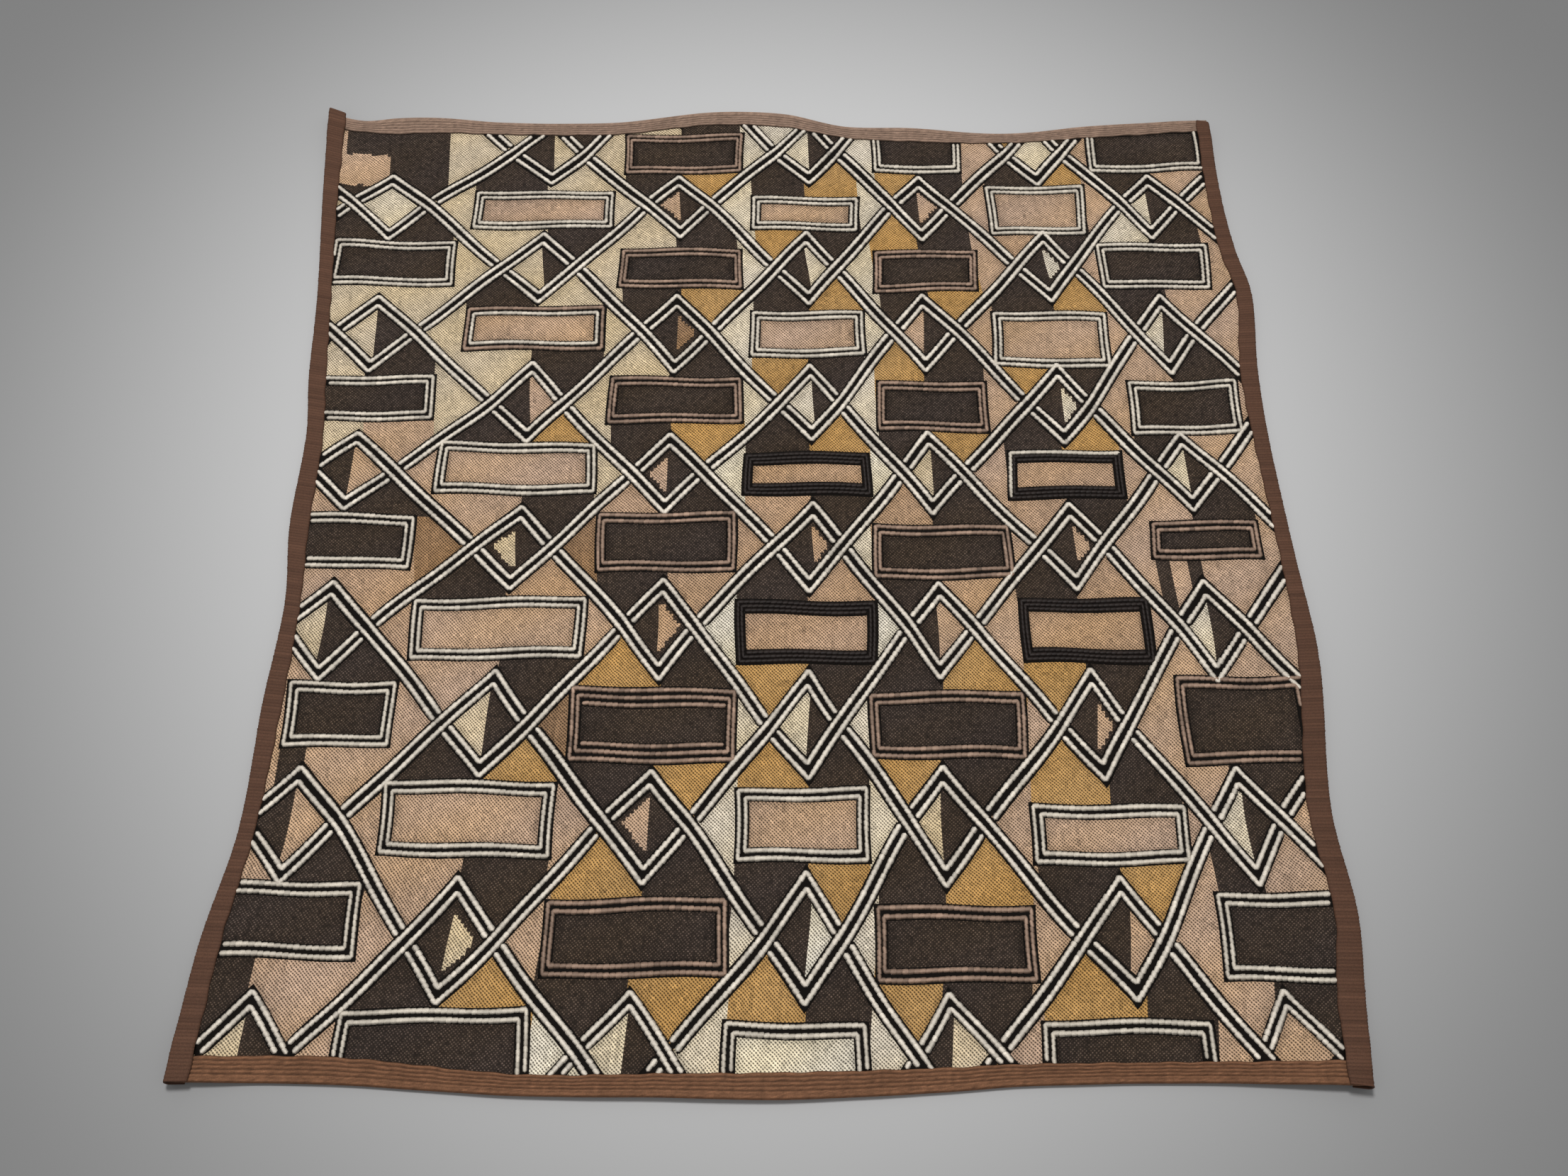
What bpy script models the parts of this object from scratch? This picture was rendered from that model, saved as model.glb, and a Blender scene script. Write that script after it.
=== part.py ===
"""Kuba raffia cloth: an embroidered panel with four folded strips round its edges.

The cloth lies face up on the floor, its lower edge towards -Y. The origin is on the
floor, under the middle of the bounding box. Sizes and tables here are millimetres,
and points are turned to metres when they are placed.
"""

import math
from bisect import bisect_right
from collections import namedtuple

import bmesh
import bpy
from mathutils import Matrix, Vector

NAME = "kuba_raffia_cloth"
MM = 0.001

# The cloth as it was cut, before its edges pulled out of true
WIDTH = 570.0
LENGTH = 610.0
PANEL_THICK = 1.5
HEM_THICK = 1.05
STRIP_THICK = 1.0
GAP = 0.3
FLOOR_GAP = 0.2

# A strip folds round the panel's edge and lifts it by its own thickness
UNDER_WIDTH = 9.0
FOLD_RADIUS = HEM_THICK / 2 + GAP
PANEL_INSET = STRIP_THICK + FOLD_RADIUS
SEAT = STRIP_THICK + GAP + FLOOR_GAP
SHELF = 17.0
RAMP = 30.0
RAMP_STEPS = 3
GRID = 19.0
FOLD_STEPS = 4

# Lengthwise ribs of the top and bottom strips: share of the thickness across one rib
RIBS = 5
RIB_SHAPE = (0.45, 0.95, 0.95)
PLAIN_STEPS = 2

# Each edge as it lies: place along it, its outer line, and the width of strip that shows
Station = namedtuple("Station", "along edge width")
LEFT = [
    Station(-305, -288, 12), Station(-240, -283.5, 11), Station(-180, -273, 9),
    Station(-110, -271, 11), Station(-50, -267.5, 9), Station(0, -272, 11.5),
    Station(60, -271, 10.5), Station(100, -275, 11), Station(160, -278, 9),
    Station(240, -285, 10), Station(305, -289, 12),
]
RIGHT = [
    Station(-305, 284, 12), Station(-260, 288.5, 14), Station(-220, 291.5, 12),
    Station(-165, 286.5, 12.5), Station(-80, 293, 11.5), Station(-20, 290, 9),
    Station(60, 286, 9.5), Station(110, 286, 11), Station(165, 289.5, 9.5),
    Station(200, 284, 10), Station(240, 281, 9), Station(305, 280, 9),
]
TOP = [
    Station(-285, 309, 12), Station(-262, 303.5, 10), Station(-240, 307.5, 14),
    Station(-210, 307.5, 13), Station(-170, 303.5, 10.5), Station(-100, 303.5, 10.5),
    Station(-40, 311, 10.5), Station(10, 310, 11), Station(50, 300, 10),
    Station(90, 299, 12), Station(150, 294, 8.5), Station(210, 300, 10),
    Station(285, 304, 9.5),
]
BOTTOM = [
    Station(-285, -309, 12), Station(-210, -309.5, 12.8), Station(-120, -315, 10),
    Station(-50, -316, 11), Station(5, -317, 12.5), Station(80, -313.5, 11.5),
    Station(120, -310.5, 10.5), Station(200, -309, 10), Station(285, -311, 12),
]

# One frame for each edge, all turned the same way: outward is on the left of along
Edge = namedtuple("Edge", "name along outward half_span half_depth stations ribbed")
EDGES = [
    Edge("top", Vector((1, 0)), Vector((0, 1)), WIDTH / 2, LENGTH / 2, TOP, True),
    Edge("bottom", Vector((-1, 0)), Vector((0, -1)), WIDTH / 2, LENGTH / 2, BOTTOM, True),
    Edge("left", Vector((0, 1)), Vector((-1, 0)), LENGTH / 2, WIDTH / 2, LEFT, False),
    Edge("right", Vector((0, -1)), Vector((1, 0)), LENGTH / 2, WIDTH / 2, RIGHT, False),
]

# How far a side strip's cut end runs past the end strip's fold, at its outer and inner side
CornerEnd = namedtuple("CornerEnd", "outer inner")
CORNER_ENDS = {
    ("left", "top"): CornerEnd(3.0, 1.5),
    ("left", "bottom"): CornerEnd(0.5, 0.0),
    ("right", "top"): CornerEnd(-3.5, 0.5),
    ("right", "bottom"): CornerEnd(1.0, -0.5),
}

# Where an edge lifts a little off the floor, and how far in from the edge that reaches
Lift = namedtuple("Lift", "edge along reach height")
LIFTS = [
    Lift("top", -20, 75, 1.6), Lift("top", 235, 70, 1.2), Lift("bottom", -40, 150, 1.8),
    Lift("bottom", 275, 90, 2.2), Lift("left", 290, 80, 1.8), Lift("left", -60, 100, 1.2),
    Lift("left", -300, 70, 1.4), Lift("right", -100, 110, 2.0), Lift("right", 165, 90, 1.2),
]
LIFT_DEPTH = 45.0

# The embroidery is thicker in some places than in others
LOFT_SHARE = 0.2
LOFT_WAVE_X = 83.0
LOFT_WAVE_Y = 102.0

RAFFIA = (0.34, 0.23, 0.13, 1.0)
BROWN = (0.15, 0.07, 0.04, 1.0)


def clear_scene():
    """Remove every object that is already there."""
    for old in list(bpy.data.objects):
        bpy.data.objects.remove(old, do_unlink=True)


def smooth(share):
    """Ease from 0 to 1 with level ends."""
    share = min(max(share, 0.0), 1.0)
    return share * share * (3 - 2 * share)


def follow(stations, along, column):
    """Read one column of an edge table on a smooth curve through its stations."""
    places = [station.along for station in stations]
    values = [getattr(station, column) for station in stations]
    along = min(max(along, places[0]), places[-1])
    here = min(bisect_right(places, along), len(places) - 1) - 1

    def slope(index):
        before = max(index - 1, 0)
        after = min(index + 1, len(places) - 1)
        return (values[after] - values[before]) / (places[after] - places[before])

    span = places[here + 1] - places[here]
    share = (along - places[here]) / span
    start = (1 + 2 * share) * (1 - share) ** 2 * values[here]
    end = (3 - 2 * share) * share ** 2 * values[here + 1]
    leave = share * (1 - share) ** 2 * span * slope(here)
    arrive = (share - 1) * share ** 2 * span * slope(here + 1)
    return start + end + leave + arrive


def edge_depth(edge, x, y):
    """Distance of a point of the straight cloth in from one edge."""
    return edge.half_depth - edge.outward.dot(Vector((x, y)))


def edge_place(edge, x, y):
    """Place of a point along an edge, as that edge's table counts it."""
    return abs(edge.along.x) * x + abs(edge.along.y) * y


def lift(x, y):
    """Height that the uneven edges add to the whole cloth at this point."""
    height = 0.0
    edges = {edge.name: edge for edge in EDGES}
    for row in LIFTS:
        edge = edges[row.edge]
        fade = max(1 - edge_depth(edge, x, y) / LIFT_DEPTH, 0.0) ** 2
        offset = (edge_place(edge, x, y) - row.along) / row.reach
        height += row.height * fade * smooth(1 - abs(offset))
    return height


def lay(x, y, z):
    """Turn a point of the straight cloth into its place on the uneven one, in metres."""
    across = x / WIDTH + 0.5
    up = y / LENGTH + 0.5
    left = follow(LEFT, y, "edge") + WIDTH / 2
    right = follow(RIGHT, y, "edge") - WIDTH / 2
    bottom = follow(BOTTOM, x, "edge") + LENGTH / 2
    top = follow(TOP, x, "edge") - LENGTH / 2
    moved_x = x + left + (right - left) * across
    moved_y = y + bottom + (top - bottom) * up
    return Vector((moved_x, moved_y, z + lift(x, y))) * MM


def seat(depth):
    """Share of a strip's thickness that lifts the panel at this depth from an edge."""
    return 1 - smooth((depth - SHELF) / RAMP)


def underside(x, y):
    """Height of the panel's underside, which the strips below its edges lift."""
    return SEAT * (seat(WIDTH / 2 - abs(x)) + seat(LENGTH / 2 - abs(y)))


def grid_lines(half_length, first_depth):
    """Places of the grid lines across the cloth: shelf, ramp, even middle, and back."""
    depths = [first_depth, SHELF]
    depths += [SHELF + RAMP * step / RAMP_STEPS for step in range(1, RAMP_STEPS)]
    start = half_length - SHELF - RAMP
    steps = round(2 * start / GRID)
    middle = [start * (2 * step / steps - 1) for step in range(steps + 1)]
    margin = [half_length - depth for depth in depths]
    return [-place for place in margin] + middle + margin[::-1]


def material(name, colour):
    """A matt raffia finish of one colour."""
    finish = bpy.data.materials.new(name)
    finish.use_nodes = True
    shader = finish.node_tree.nodes["Principled BSDF"]
    shader.inputs["Base Color"].default_value = colour
    shader.inputs["Roughness"].default_value = 0.85
    shader.inputs["Metallic"].default_value = 0.0
    return finish


def cloth_piece(name, columns, rows, place, thickness, colour, collection):
    """Make a closed cloth piece: a grid that a function places, thickened outwards.

    place(column, row) gives a point in metres and the share of the thickness there.
    """
    mesh = bpy.data.meshes.new(name)
    grid = bmesh.new()
    bmesh.ops.create_grid(grid, x_segments=columns, y_segments=rows, size=0.5)
    shares = grid.verts.layers.deform.verify()
    for vert in grid.verts:
        column = round((vert.co.x + 0.5) * columns)
        row = round((vert.co.y + 0.5) * rows)
        vert.co, vert[shares][0] = place(column, row)
    grid.to_mesh(mesh)
    grid.free()
    mesh.shade_smooth()
    mesh.materials.append(material(name + "_raffia", colour))
    piece = bpy.data.objects.new(name, mesh)
    collection.objects.link(piece)
    piece.vertex_groups.new(name="thickness")
    solidify = piece.modifiers.new("Thickness", "SOLIDIFY")
    solidify.thickness = thickness * MM
    solidify.offset = 1.0
    solidify.vertex_group = "thickness"
    return piece


def make_panel(collection):
    """The embroidered raffia sheet, flat in the middle and lifted by the strips."""
    xs = grid_lines(WIDTH / 2, PANEL_INSET)
    ys = grid_lines(LENGTH / 2, PANEL_INSET)

    def place(column, row):
        x, y = xs[column], ys[row]
        wave = math.sin(math.tau * x / LOFT_WAVE_X) * math.sin(math.tau * y / LOFT_WAVE_Y)
        inside = (1 - seat(WIDTH / 2 - abs(x))) * (1 - seat(LENGTH / 2 - abs(y)))
        loft = PANEL_THICK * (1 - LOFT_SHARE * (0.5 + 0.5 * wave))
        thickness = HEM_THICK + (loft - HEM_THICK) * inside
        return lay(x, y, underside(x, y)), thickness / PANEL_THICK

    return cloth_piece("panel", len(xs) - 1, len(ys) - 1, place, PANEL_THICK, RAFFIA, collection)


def strip_section(ribbed):
    """The strip's inner face from its shown edge round the fold to its hidden edge.

    Each point is (part, share, thickness share), where share runs from 0 to 1 within
    the upper wall, the fold or the lower wall.
    """
    shape = RIB_SHAPE * RIBS if ribbed else (1.0,) * PLAIN_STEPS
    section = [("upper", step / len(shape), share) for step, share in enumerate(shape)]
    section += [("fold", step / FOLD_STEPS, 1.0) for step in range(FOLD_STEPS + 1)]
    section.append(("lower", 1.0, 1.0))
    return section


def strip_end(edge, along, depth):
    """How far a side strip's end is moved past the end strip's fold."""
    side = "top" if along * edge.along.y > 0 else "bottom"
    end = CORNER_ENDS[edge.name, side]
    return end.outer + (end.inner - end.outer) * min(max(depth / SHELF, 0.0), 1.0)


def make_strip(edge, collection):
    """One strip folded over an edge of the panel, or of the panel and the end strips."""
    section = strip_section(edge.ribbed)
    end_depth = PANEL_INSET if edge.ribbed else 0.0
    lines = grid_lines(edge.half_span, end_depth)

    def heights(x, y):
        """Inner faces of the lower and the upper wall at a point."""
        under = underside(x, y)
        if edge.ribbed:
            return under - GAP, under + HEM_THICK + GAP
        lap = min(max(1 - (LENGTH / 2 - abs(y) - SHELF) / (RAMP / RAMP_STEPS), 0.0), 1.0)
        return SEAT - GAP, under + HEM_THICK + GAP + lap * (GAP + STRIP_THICK)

    def place(column, row):
        along = lines[column]
        part, share, thickness_share = section[row]
        x, y = edge.along * along + edge.outward * edge.half_depth
        width = follow(edge.stations, edge_place(edge, x, y), "width")
        if part == "upper":
            depth = width + (PANEL_INSET - width) * share
        elif part == "fold":
            depth = PANEL_INSET - FOLD_RADIUS * math.sin(math.pi * share)
        else:
            depth = UNDER_WIDTH
        if not edge.ribbed and column in (0, len(lines) - 1):
            along += math.copysign(strip_end(edge, along, depth), along)
        x, y = edge.along * along + edge.outward * (edge.half_depth - depth)
        low, high = heights(x, y)
        raised = {"upper": 1.0, "fold": 0.5 + 0.5 * math.cos(math.pi * share), "lower": 0.0}
        return lay(x, y, low + (high - low) * raised[part]), thickness_share

    name = "binding_" + edge.name
    return cloth_piece(
        name, len(lines) - 1, len(section) - 1, place, STRIP_THICK, BROWN, collection
    )


def centre_on_floor(pieces):
    """Bring the middle of the whole cloth's box over the origin, its lowest point to 0."""
    graph = bpy.context.evaluated_depsgraph_get()
    corners = [Vector(corner) for piece in pieces for corner in piece.evaluated_get(graph).bound_box]
    low = [min(corner[axis] for corner in corners) for axis in range(3)]
    high = [max(corner[axis] for corner in corners) for axis in range(3)]
    move = Matrix.Translation((-(low[0] + high[0]) / 2, -(low[1] + high[1]) / 2, -low[2]))
    for piece in pieces:
        piece.data.transform(move)


def main():
    """Build the cloth."""
    clear_scene()
    collection = bpy.data.collections.new(NAME)
    bpy.context.scene.collection.children.link(collection)
    pieces = [make_panel(collection)]
    pieces += [make_strip(edge, collection) for edge in EDGES]
    centre_on_floor(pieces)


main()
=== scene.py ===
"""Looks of a kuba raffia cloth that lies face up on a pale floor.

The embroidered panel is one sheet, coloured stitch by stitch from a chart
of its lattice. The dark beds and the stem stitches of the lines lie on it, and four
ribbed strips are folded round its edges. The model is in metres. Tables and pattern
sizes are millimetres on the cloth, +y towards its top edge.
"""

import logging
import math
from dataclasses import dataclass, field
from enum import Enum
from typing import NamedTuple

import bpy
import numpy as np
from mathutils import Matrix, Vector

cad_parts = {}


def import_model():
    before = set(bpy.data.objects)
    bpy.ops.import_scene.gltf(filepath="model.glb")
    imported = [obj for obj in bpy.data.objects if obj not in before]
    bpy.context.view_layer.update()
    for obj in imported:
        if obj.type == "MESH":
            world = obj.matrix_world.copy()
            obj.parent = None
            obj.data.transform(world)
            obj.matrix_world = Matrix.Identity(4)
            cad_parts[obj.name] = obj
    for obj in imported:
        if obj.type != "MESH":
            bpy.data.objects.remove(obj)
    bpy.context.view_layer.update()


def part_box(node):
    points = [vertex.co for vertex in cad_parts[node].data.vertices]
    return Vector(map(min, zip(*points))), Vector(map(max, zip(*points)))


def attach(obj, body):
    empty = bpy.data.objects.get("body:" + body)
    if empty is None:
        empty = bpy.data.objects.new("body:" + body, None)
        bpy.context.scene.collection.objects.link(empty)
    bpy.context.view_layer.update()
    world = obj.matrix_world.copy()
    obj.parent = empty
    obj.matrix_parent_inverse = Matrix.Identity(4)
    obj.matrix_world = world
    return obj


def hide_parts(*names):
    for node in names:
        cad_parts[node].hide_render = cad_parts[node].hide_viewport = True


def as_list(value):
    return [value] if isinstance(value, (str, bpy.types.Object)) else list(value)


MM = 0.001
RIM_STEPS = 1201
CLOSE = 1e-6
Array = np.ndarray
Chance = np.random.Generator
Pair = tuple[float, float]
Node = bpy.types.Node
Socket = bpy.types.NodeSocket
Tree = bpy.types.NodeTree
log = logging.getLogger("cloth")


# The cloth's outline


class Station(NamedTuple):
    """A place along an edge, the edge's line there, and the width of strip that shows."""

    along: float
    edge: float
    width: float


def stations(*rows: tuple[float, float, float]) -> tuple[Station, ...]:
    """An edge's table, from its rows."""
    return tuple(Station(*row) for row in rows)


class Lift(NamedTuple):
    """A place where an edge stands a little off the floor."""

    edge: str
    along: float
    reach: float
    height: float


class Edge(NamedTuple):
    """One edge of the straight cloth, with outward on the left of along."""

    name: str
    along: Pair
    outward: Pair
    half_span: float
    half_depth: float
    stations: tuple[Station, ...]

    def within(self, x: Array, y: Array) -> tuple[Array, Array]:
        """Places along this edge and depths in from it, for places on the straight cloth."""
        depth = self.half_depth - self.outward[0] * x - self.outward[1] * y
        return abs(self.along[0]) * x + abs(self.along[1]) * y, depth


LEFT = stations(
    (-305, -288, 12), (-240, -283.5, 11), (-180, -273, 9),
    (-110, -271, 11), (-50, -267.5, 9), (0, -272, 11.5),
    (60, -271, 10.5), (100, -275, 11), (160, -278, 9),
    (240, -285, 10), (305, -289, 12),
)
RIGHT = stations(
    (-305, 284, 12), (-260, 288.5, 14), (-220, 291.5, 12),
    (-165, 286.5, 12.5), (-80, 293, 11.5), (-20, 290, 9),
    (60, 286, 9.5), (110, 286, 11), (165, 289.5, 9.5),
    (200, 284, 10), (240, 281, 9), (305, 280, 9),
)
TOP = stations(
    (-285, 309, 12), (-262, 303.5, 10), (-240, 307.5, 14),
    (-210, 307.5, 13), (-170, 303.5, 10.5), (-100, 303.5, 10.5),
    (-40, 311, 10.5), (10, 310, 11), (50, 300, 10),
    (90, 299, 12), (150, 294, 8.5), (210, 300, 10),
    (285, 304, 9.5),
)
BOTTOM = stations(
    (-285, -309, 12), (-210, -309.5, 12.8), (-120, -315, 10),
    (-50, -316, 11), (5, -317, 12.5), (80, -313.5, 11.5),
    (120, -310.5, 10.5), (200, -309, 10), (285, -311, 12),
)
LIFTS = (
    Lift("top", -20, 75, 1.6), Lift("top", 235, 70, 1.2), Lift("bottom", -40, 150, 1.8),
    Lift("bottom", 275, 90, 2.2), Lift("left", 290, 80, 1.8), Lift("left", -60, 100, 1.2),
    Lift("left", -300, 70, 1.4), Lift("right", -100, 110, 2.0), Lift("right", 165, 90, 1.2),
)


def ease(share: Array) -> Array:
    """Ease from 0 to 1 with level ends."""
    share = np.clip(share, 0.0, 1.0)
    return share * share * (3 - 2 * share)


def follow(stations: tuple[Station, ...], along: Array, column: int) -> Array:
    """Read one column of an edge table on a smooth curve through its stations.

    Args:
        stations: The edge's table.
        along: Places along the edge.
        column: 1 for the edge's line, 2 for the strip's width.

    Returns:
        The column's value at each place.
    """
    places = np.array([station.along for station in stations], dtype=float)
    values = np.array([station[column] for station in stations], dtype=float)
    along = np.clip(along, places[0], places[-1])
    here = np.clip(np.searchsorted(places, along, side="right") - 1, 0, len(places) - 2)
    before = np.maximum(np.arange(len(places)) - 1, 0)
    after = np.minimum(np.arange(len(places)) + 1, len(places) - 1)
    slopes = (values[after] - values[before]) / (places[after] - places[before])
    span = places[here + 1] - places[here]
    share = (along - places[here]) / span
    start = (1 + 2 * share) * (1 - share) ** 2 * values[here]
    end = (3 - 2 * share) * share**2 * values[here + 1]
    leave = share * (1 - share) ** 2 * span * slopes[here]
    arrive = (share - 1) * share**2 * span * slopes[here + 1]
    return start + end + leave + arrive


@dataclass(frozen=True)
class Outline:
    """How the cloth lies: its uneven outline, and the height of each sheet above the floor."""

    width: float = 570.0
    length: float = 610.0
    panel_thick: float = 1.5
    hem_thick: float = 1.05
    strip_thick: float = 1.0
    gap: float = 0.3
    floor_gap: float = 0.2
    shelf: float = 17.0
    ramp: float = 30.0
    lap_run: float = 10.0
    lift_depth: float = 45.0
    loft_share: float = 0.2
    loft_wave: Pair = (83.0, 102.0)
    tuck_depth: float = 4.0
    tuck_share: float = 0.01

    @property
    def fold_radius(self) -> float:
        """Inner radius of a strip's fold."""
        return self.hem_thick / 2 + self.gap

    @property
    def panel_inset(self) -> float:
        """How far inside the strips' folds the panel ends."""
        return self.strip_thick + self.fold_radius

    @property
    def panel_half(self) -> Pair:
        """Half the panel's width and half its length."""
        return self.width / 2 - self.panel_inset, self.length / 2 - self.panel_inset

    @property
    def seat(self) -> float:
        """Height that a strip under the panel gives its underside."""
        return self.strip_thick + self.gap + self.floor_gap

    @property
    def edges(self) -> tuple[Edge, ...]:
        """The four edges."""
        half_width, half_length = self.width / 2, self.length / 2
        return (
            Edge("top", (1, 0), (0, 1), half_width, half_length, TOP),
            Edge("bottom", (-1, 0), (0, -1), half_width, half_length, BOTTOM),
            Edge("left", (0, 1), (-1, 0), half_length, half_width, LEFT),
            Edge("right", (0, -1), (1, 0), half_length, half_width, RIGHT),
        )

    def lay(self, x: Array, y: Array) -> tuple[Array, Array]:
        """Turn places on the straight cloth into places on the uneven one."""
        left = follow(LEFT, y, 1) + self.width / 2
        right = follow(RIGHT, y, 1) - self.width / 2
        bottom = follow(BOTTOM, x, 1) + self.length / 2
        top = follow(TOP, x, 1) - self.length / 2
        moved_x = x + left + (right - left) * (x / self.width + 0.5)
        moved_y = y + bottom + (top - bottom) * (y / self.length + 0.5)
        return moved_x, moved_y

    def straighten(self, x: Array, y: Array) -> tuple[Array, Array]:
        """Turn places on the uneven cloth back into places on the straight one."""
        straight_x, straight_y = np.array(x, dtype=float), np.array(y, dtype=float)
        for _ in range(5):
            laid_x, laid_y = self.lay(straight_x, straight_y)
            straight_x += x - laid_x
            straight_y += y - laid_y
        return straight_x, straight_y

    def lift(self, x: Array, y: Array) -> Array:
        """Height that the uneven edges add to the whole cloth."""
        edges = {edge.name: edge for edge in self.edges}
        height = np.zeros_like(x)
        for row in LIFTS:
            place, depth = edges[row.edge].within(x, y)
            fade = np.maximum(1 - depth / self.lift_depth, 0.0) ** 2
            height += row.height * fade * ease(1 - np.abs((place - row.along) / row.reach))
        return height

    def seating(self, depth: Array) -> Array:
        """Share of a strip's thickness that lifts the panel at a depth from an edge."""
        return 1 - ease((depth - self.shelf) / self.ramp)

    def seats(self, x: Array, y: Array) -> tuple[Array, Array]:
        """Shares of a strip's thickness that lift the panel beside its sides and its ends."""
        return self.seating(self.width / 2 - np.abs(x)), self.seating(self.length / 2 - np.abs(y))

    def underside(self, x: Array, y: Array) -> Array:
        """Height of the panel's underside on the straight cloth, without the lift."""
        sides, ends = self.seats(x, y)
        return self.seat * (sides + ends)

    def upside(self, x: Array, y: Array) -> Array:
        """Height of the panel's embroidered face above the floor, with the lift."""
        wave_x = np.sin(math.tau * x / self.loft_wave[0])
        wave_y = np.sin(math.tau * y / self.loft_wave[1])
        loft = self.panel_thick * (1 - self.loft_share * (0.5 + 0.5 * wave_x * wave_y))
        sides, ends = self.seats(x, y)
        thickness = self.hem_thick + (loft - self.hem_thick) * (1 - sides) * (1 - ends)
        return self.underside(x, y) + thickness + self.lift(x, y)

    def room(self, x: Array, y: Array) -> Array:
        """Distance on the straight cloth in from the nearest strip's shown edge."""
        room = np.full_like(x, np.inf)
        for edge in self.edges:
            place, depth = edge.within(x, y)
            room = np.minimum(room, depth - follow(edge.stations, place, 2))
        return room

    def tuck(self, x: Array, y: Array) -> tuple[Array, Array]:
        """Draw what runs too deep under the strips back to just past the depth allowed."""
        limit_x, limit_y = self.width / 2 - self.tuck_depth, self.length / 2 - self.tuck_depth
        inside_x, inside_y = np.clip(x, -limit_x, limit_x), np.clip(y, -limit_y, limit_y)
        return (inside_x + self.tuck_share * (x - inside_x), inside_y + self.tuck_share * (y - inside_y))


@dataclass(frozen=True)
class Cloth:
    """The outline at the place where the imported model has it."""

    outline: Outline
    shift: Pair

    @classmethod
    def on_frame(cls, outline: Outline) -> "Cloth":
        """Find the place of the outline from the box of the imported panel.

        Args:
            outline: The cloth's outline.

        Returns:
            The cloth at its place.
        """
        steps = np.linspace(-1, 1, RIM_STEPS)
        half_x, half_y = outline.panel_half
        ones = np.ones_like(steps)
        xs = np.concatenate([steps * half_x, steps * half_x, -ones * half_x, ones * half_x])
        ys = np.concatenate([-ones * half_y, ones * half_y, steps * half_y, steps * half_y])
        laid_x, laid_y = outline.lay(xs, ys)
        low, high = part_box("panel")
        shift_x = (low[0] + high[0]) / 2 - (laid_x.min() + laid_x.max()) / 2 * MM
        shift_y = (low[1] + high[1]) / 2 - (laid_y.min() + laid_y.max()) / 2 * MM
        return cls(outline, (shift_x, shift_y))

    def place(self, x: Array, y: Array, z: Array) -> Array:
        """Turn places on the uneven cloth, in millimetres, into points of the model."""
        points = np.stack([x, y, z], axis=-1) * MM
        return points + np.array([self.shift[0], self.shift[1], 0.0])

    def on_face(self, x: Array, y: Array, above: Array) -> Array:
        """Points at a height above the embroidered face, drawn in under the strips.

        Args:
            x: Places across the uneven cloth.
            y: Places along it.
            above: Height above the face.

        Returns:
            One point a row, in metres.
        """
        straight_x, straight_y = self.outline.tuck(*self.outline.straighten(x, y))
        laid_x, laid_y = self.outline.lay(straight_x, straight_y)
        return self.place(laid_x, laid_y, self.outline.upside(straight_x, straight_y) + above)


# The pattern


class Line(Enum):
    """How the lines of a frame are sewn, from the outermost in.

    "part" is white above and on the left, and black on the right and below. A third line is
    sewn only above and below the filling.
    """

    WHITE = ("white", "white")
    BROWN = ("brown", "brown")
    BROWN_WHITE = ("brown", "white")
    BROWN_THREE = ("brown", "brown", "brown")
    PARTLY_WHITE = ("part", "black", "black")
    THICK = ("black", "black", "black")


class Dye(Enum):
    """The raffia colours of the filled shapes."""

    D = "#42372f"
    C = "#c5b293"
    P = "#cfc1a8"
    W = "#d4c9b2"
    B = "#b6987d"
    G = "#af8853"
    T = "#b09072"
    O = "#8f7052"


class Column(NamedTuple):
    """A column of the lattice: its place at the top of the cloth and at the bottom."""

    top: float
    low: float


class Frame(NamedTuple):
    """A frame and the seven dyes of its cell.

    The dyes are above left, above right, below left, below right, left, right and inside.
    """

    column: int
    row: float
    x: float
    y: float
    half_width: float
    half_height: float
    line: Line
    dyes: str


def frames_down(column: int, first_row: float, *rows: tuple) -> tuple[Frame, ...]:
    """Frames of a column, one row apart, from the place, half size, line and dyes of each."""
    return tuple(Frame(column, first_row + count, *row) for count, row in enumerate(rows))


class Patch(NamedTuple):
    """A patch of one dye that breaks the rule inside a frame's cell."""

    column: int
    row: float
    low_x: float
    high_x: float
    low_y: float
    high_y: float
    dye: str


COLUMNS = (
    Column(-339, -350), Column(-241, -254), Column(-143, -168), Column(-60, -70),
    Column(21, 14), Column(90, 86), Column(167, 179), Column(235, 251), Column(310, 335),
)
ROW_STEP = 0.5
ROW_LINES = (375, 330, 277, 235, 185, 136, 83, 36, -13, -64, -123, -177, -239, -296, -355)

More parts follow.
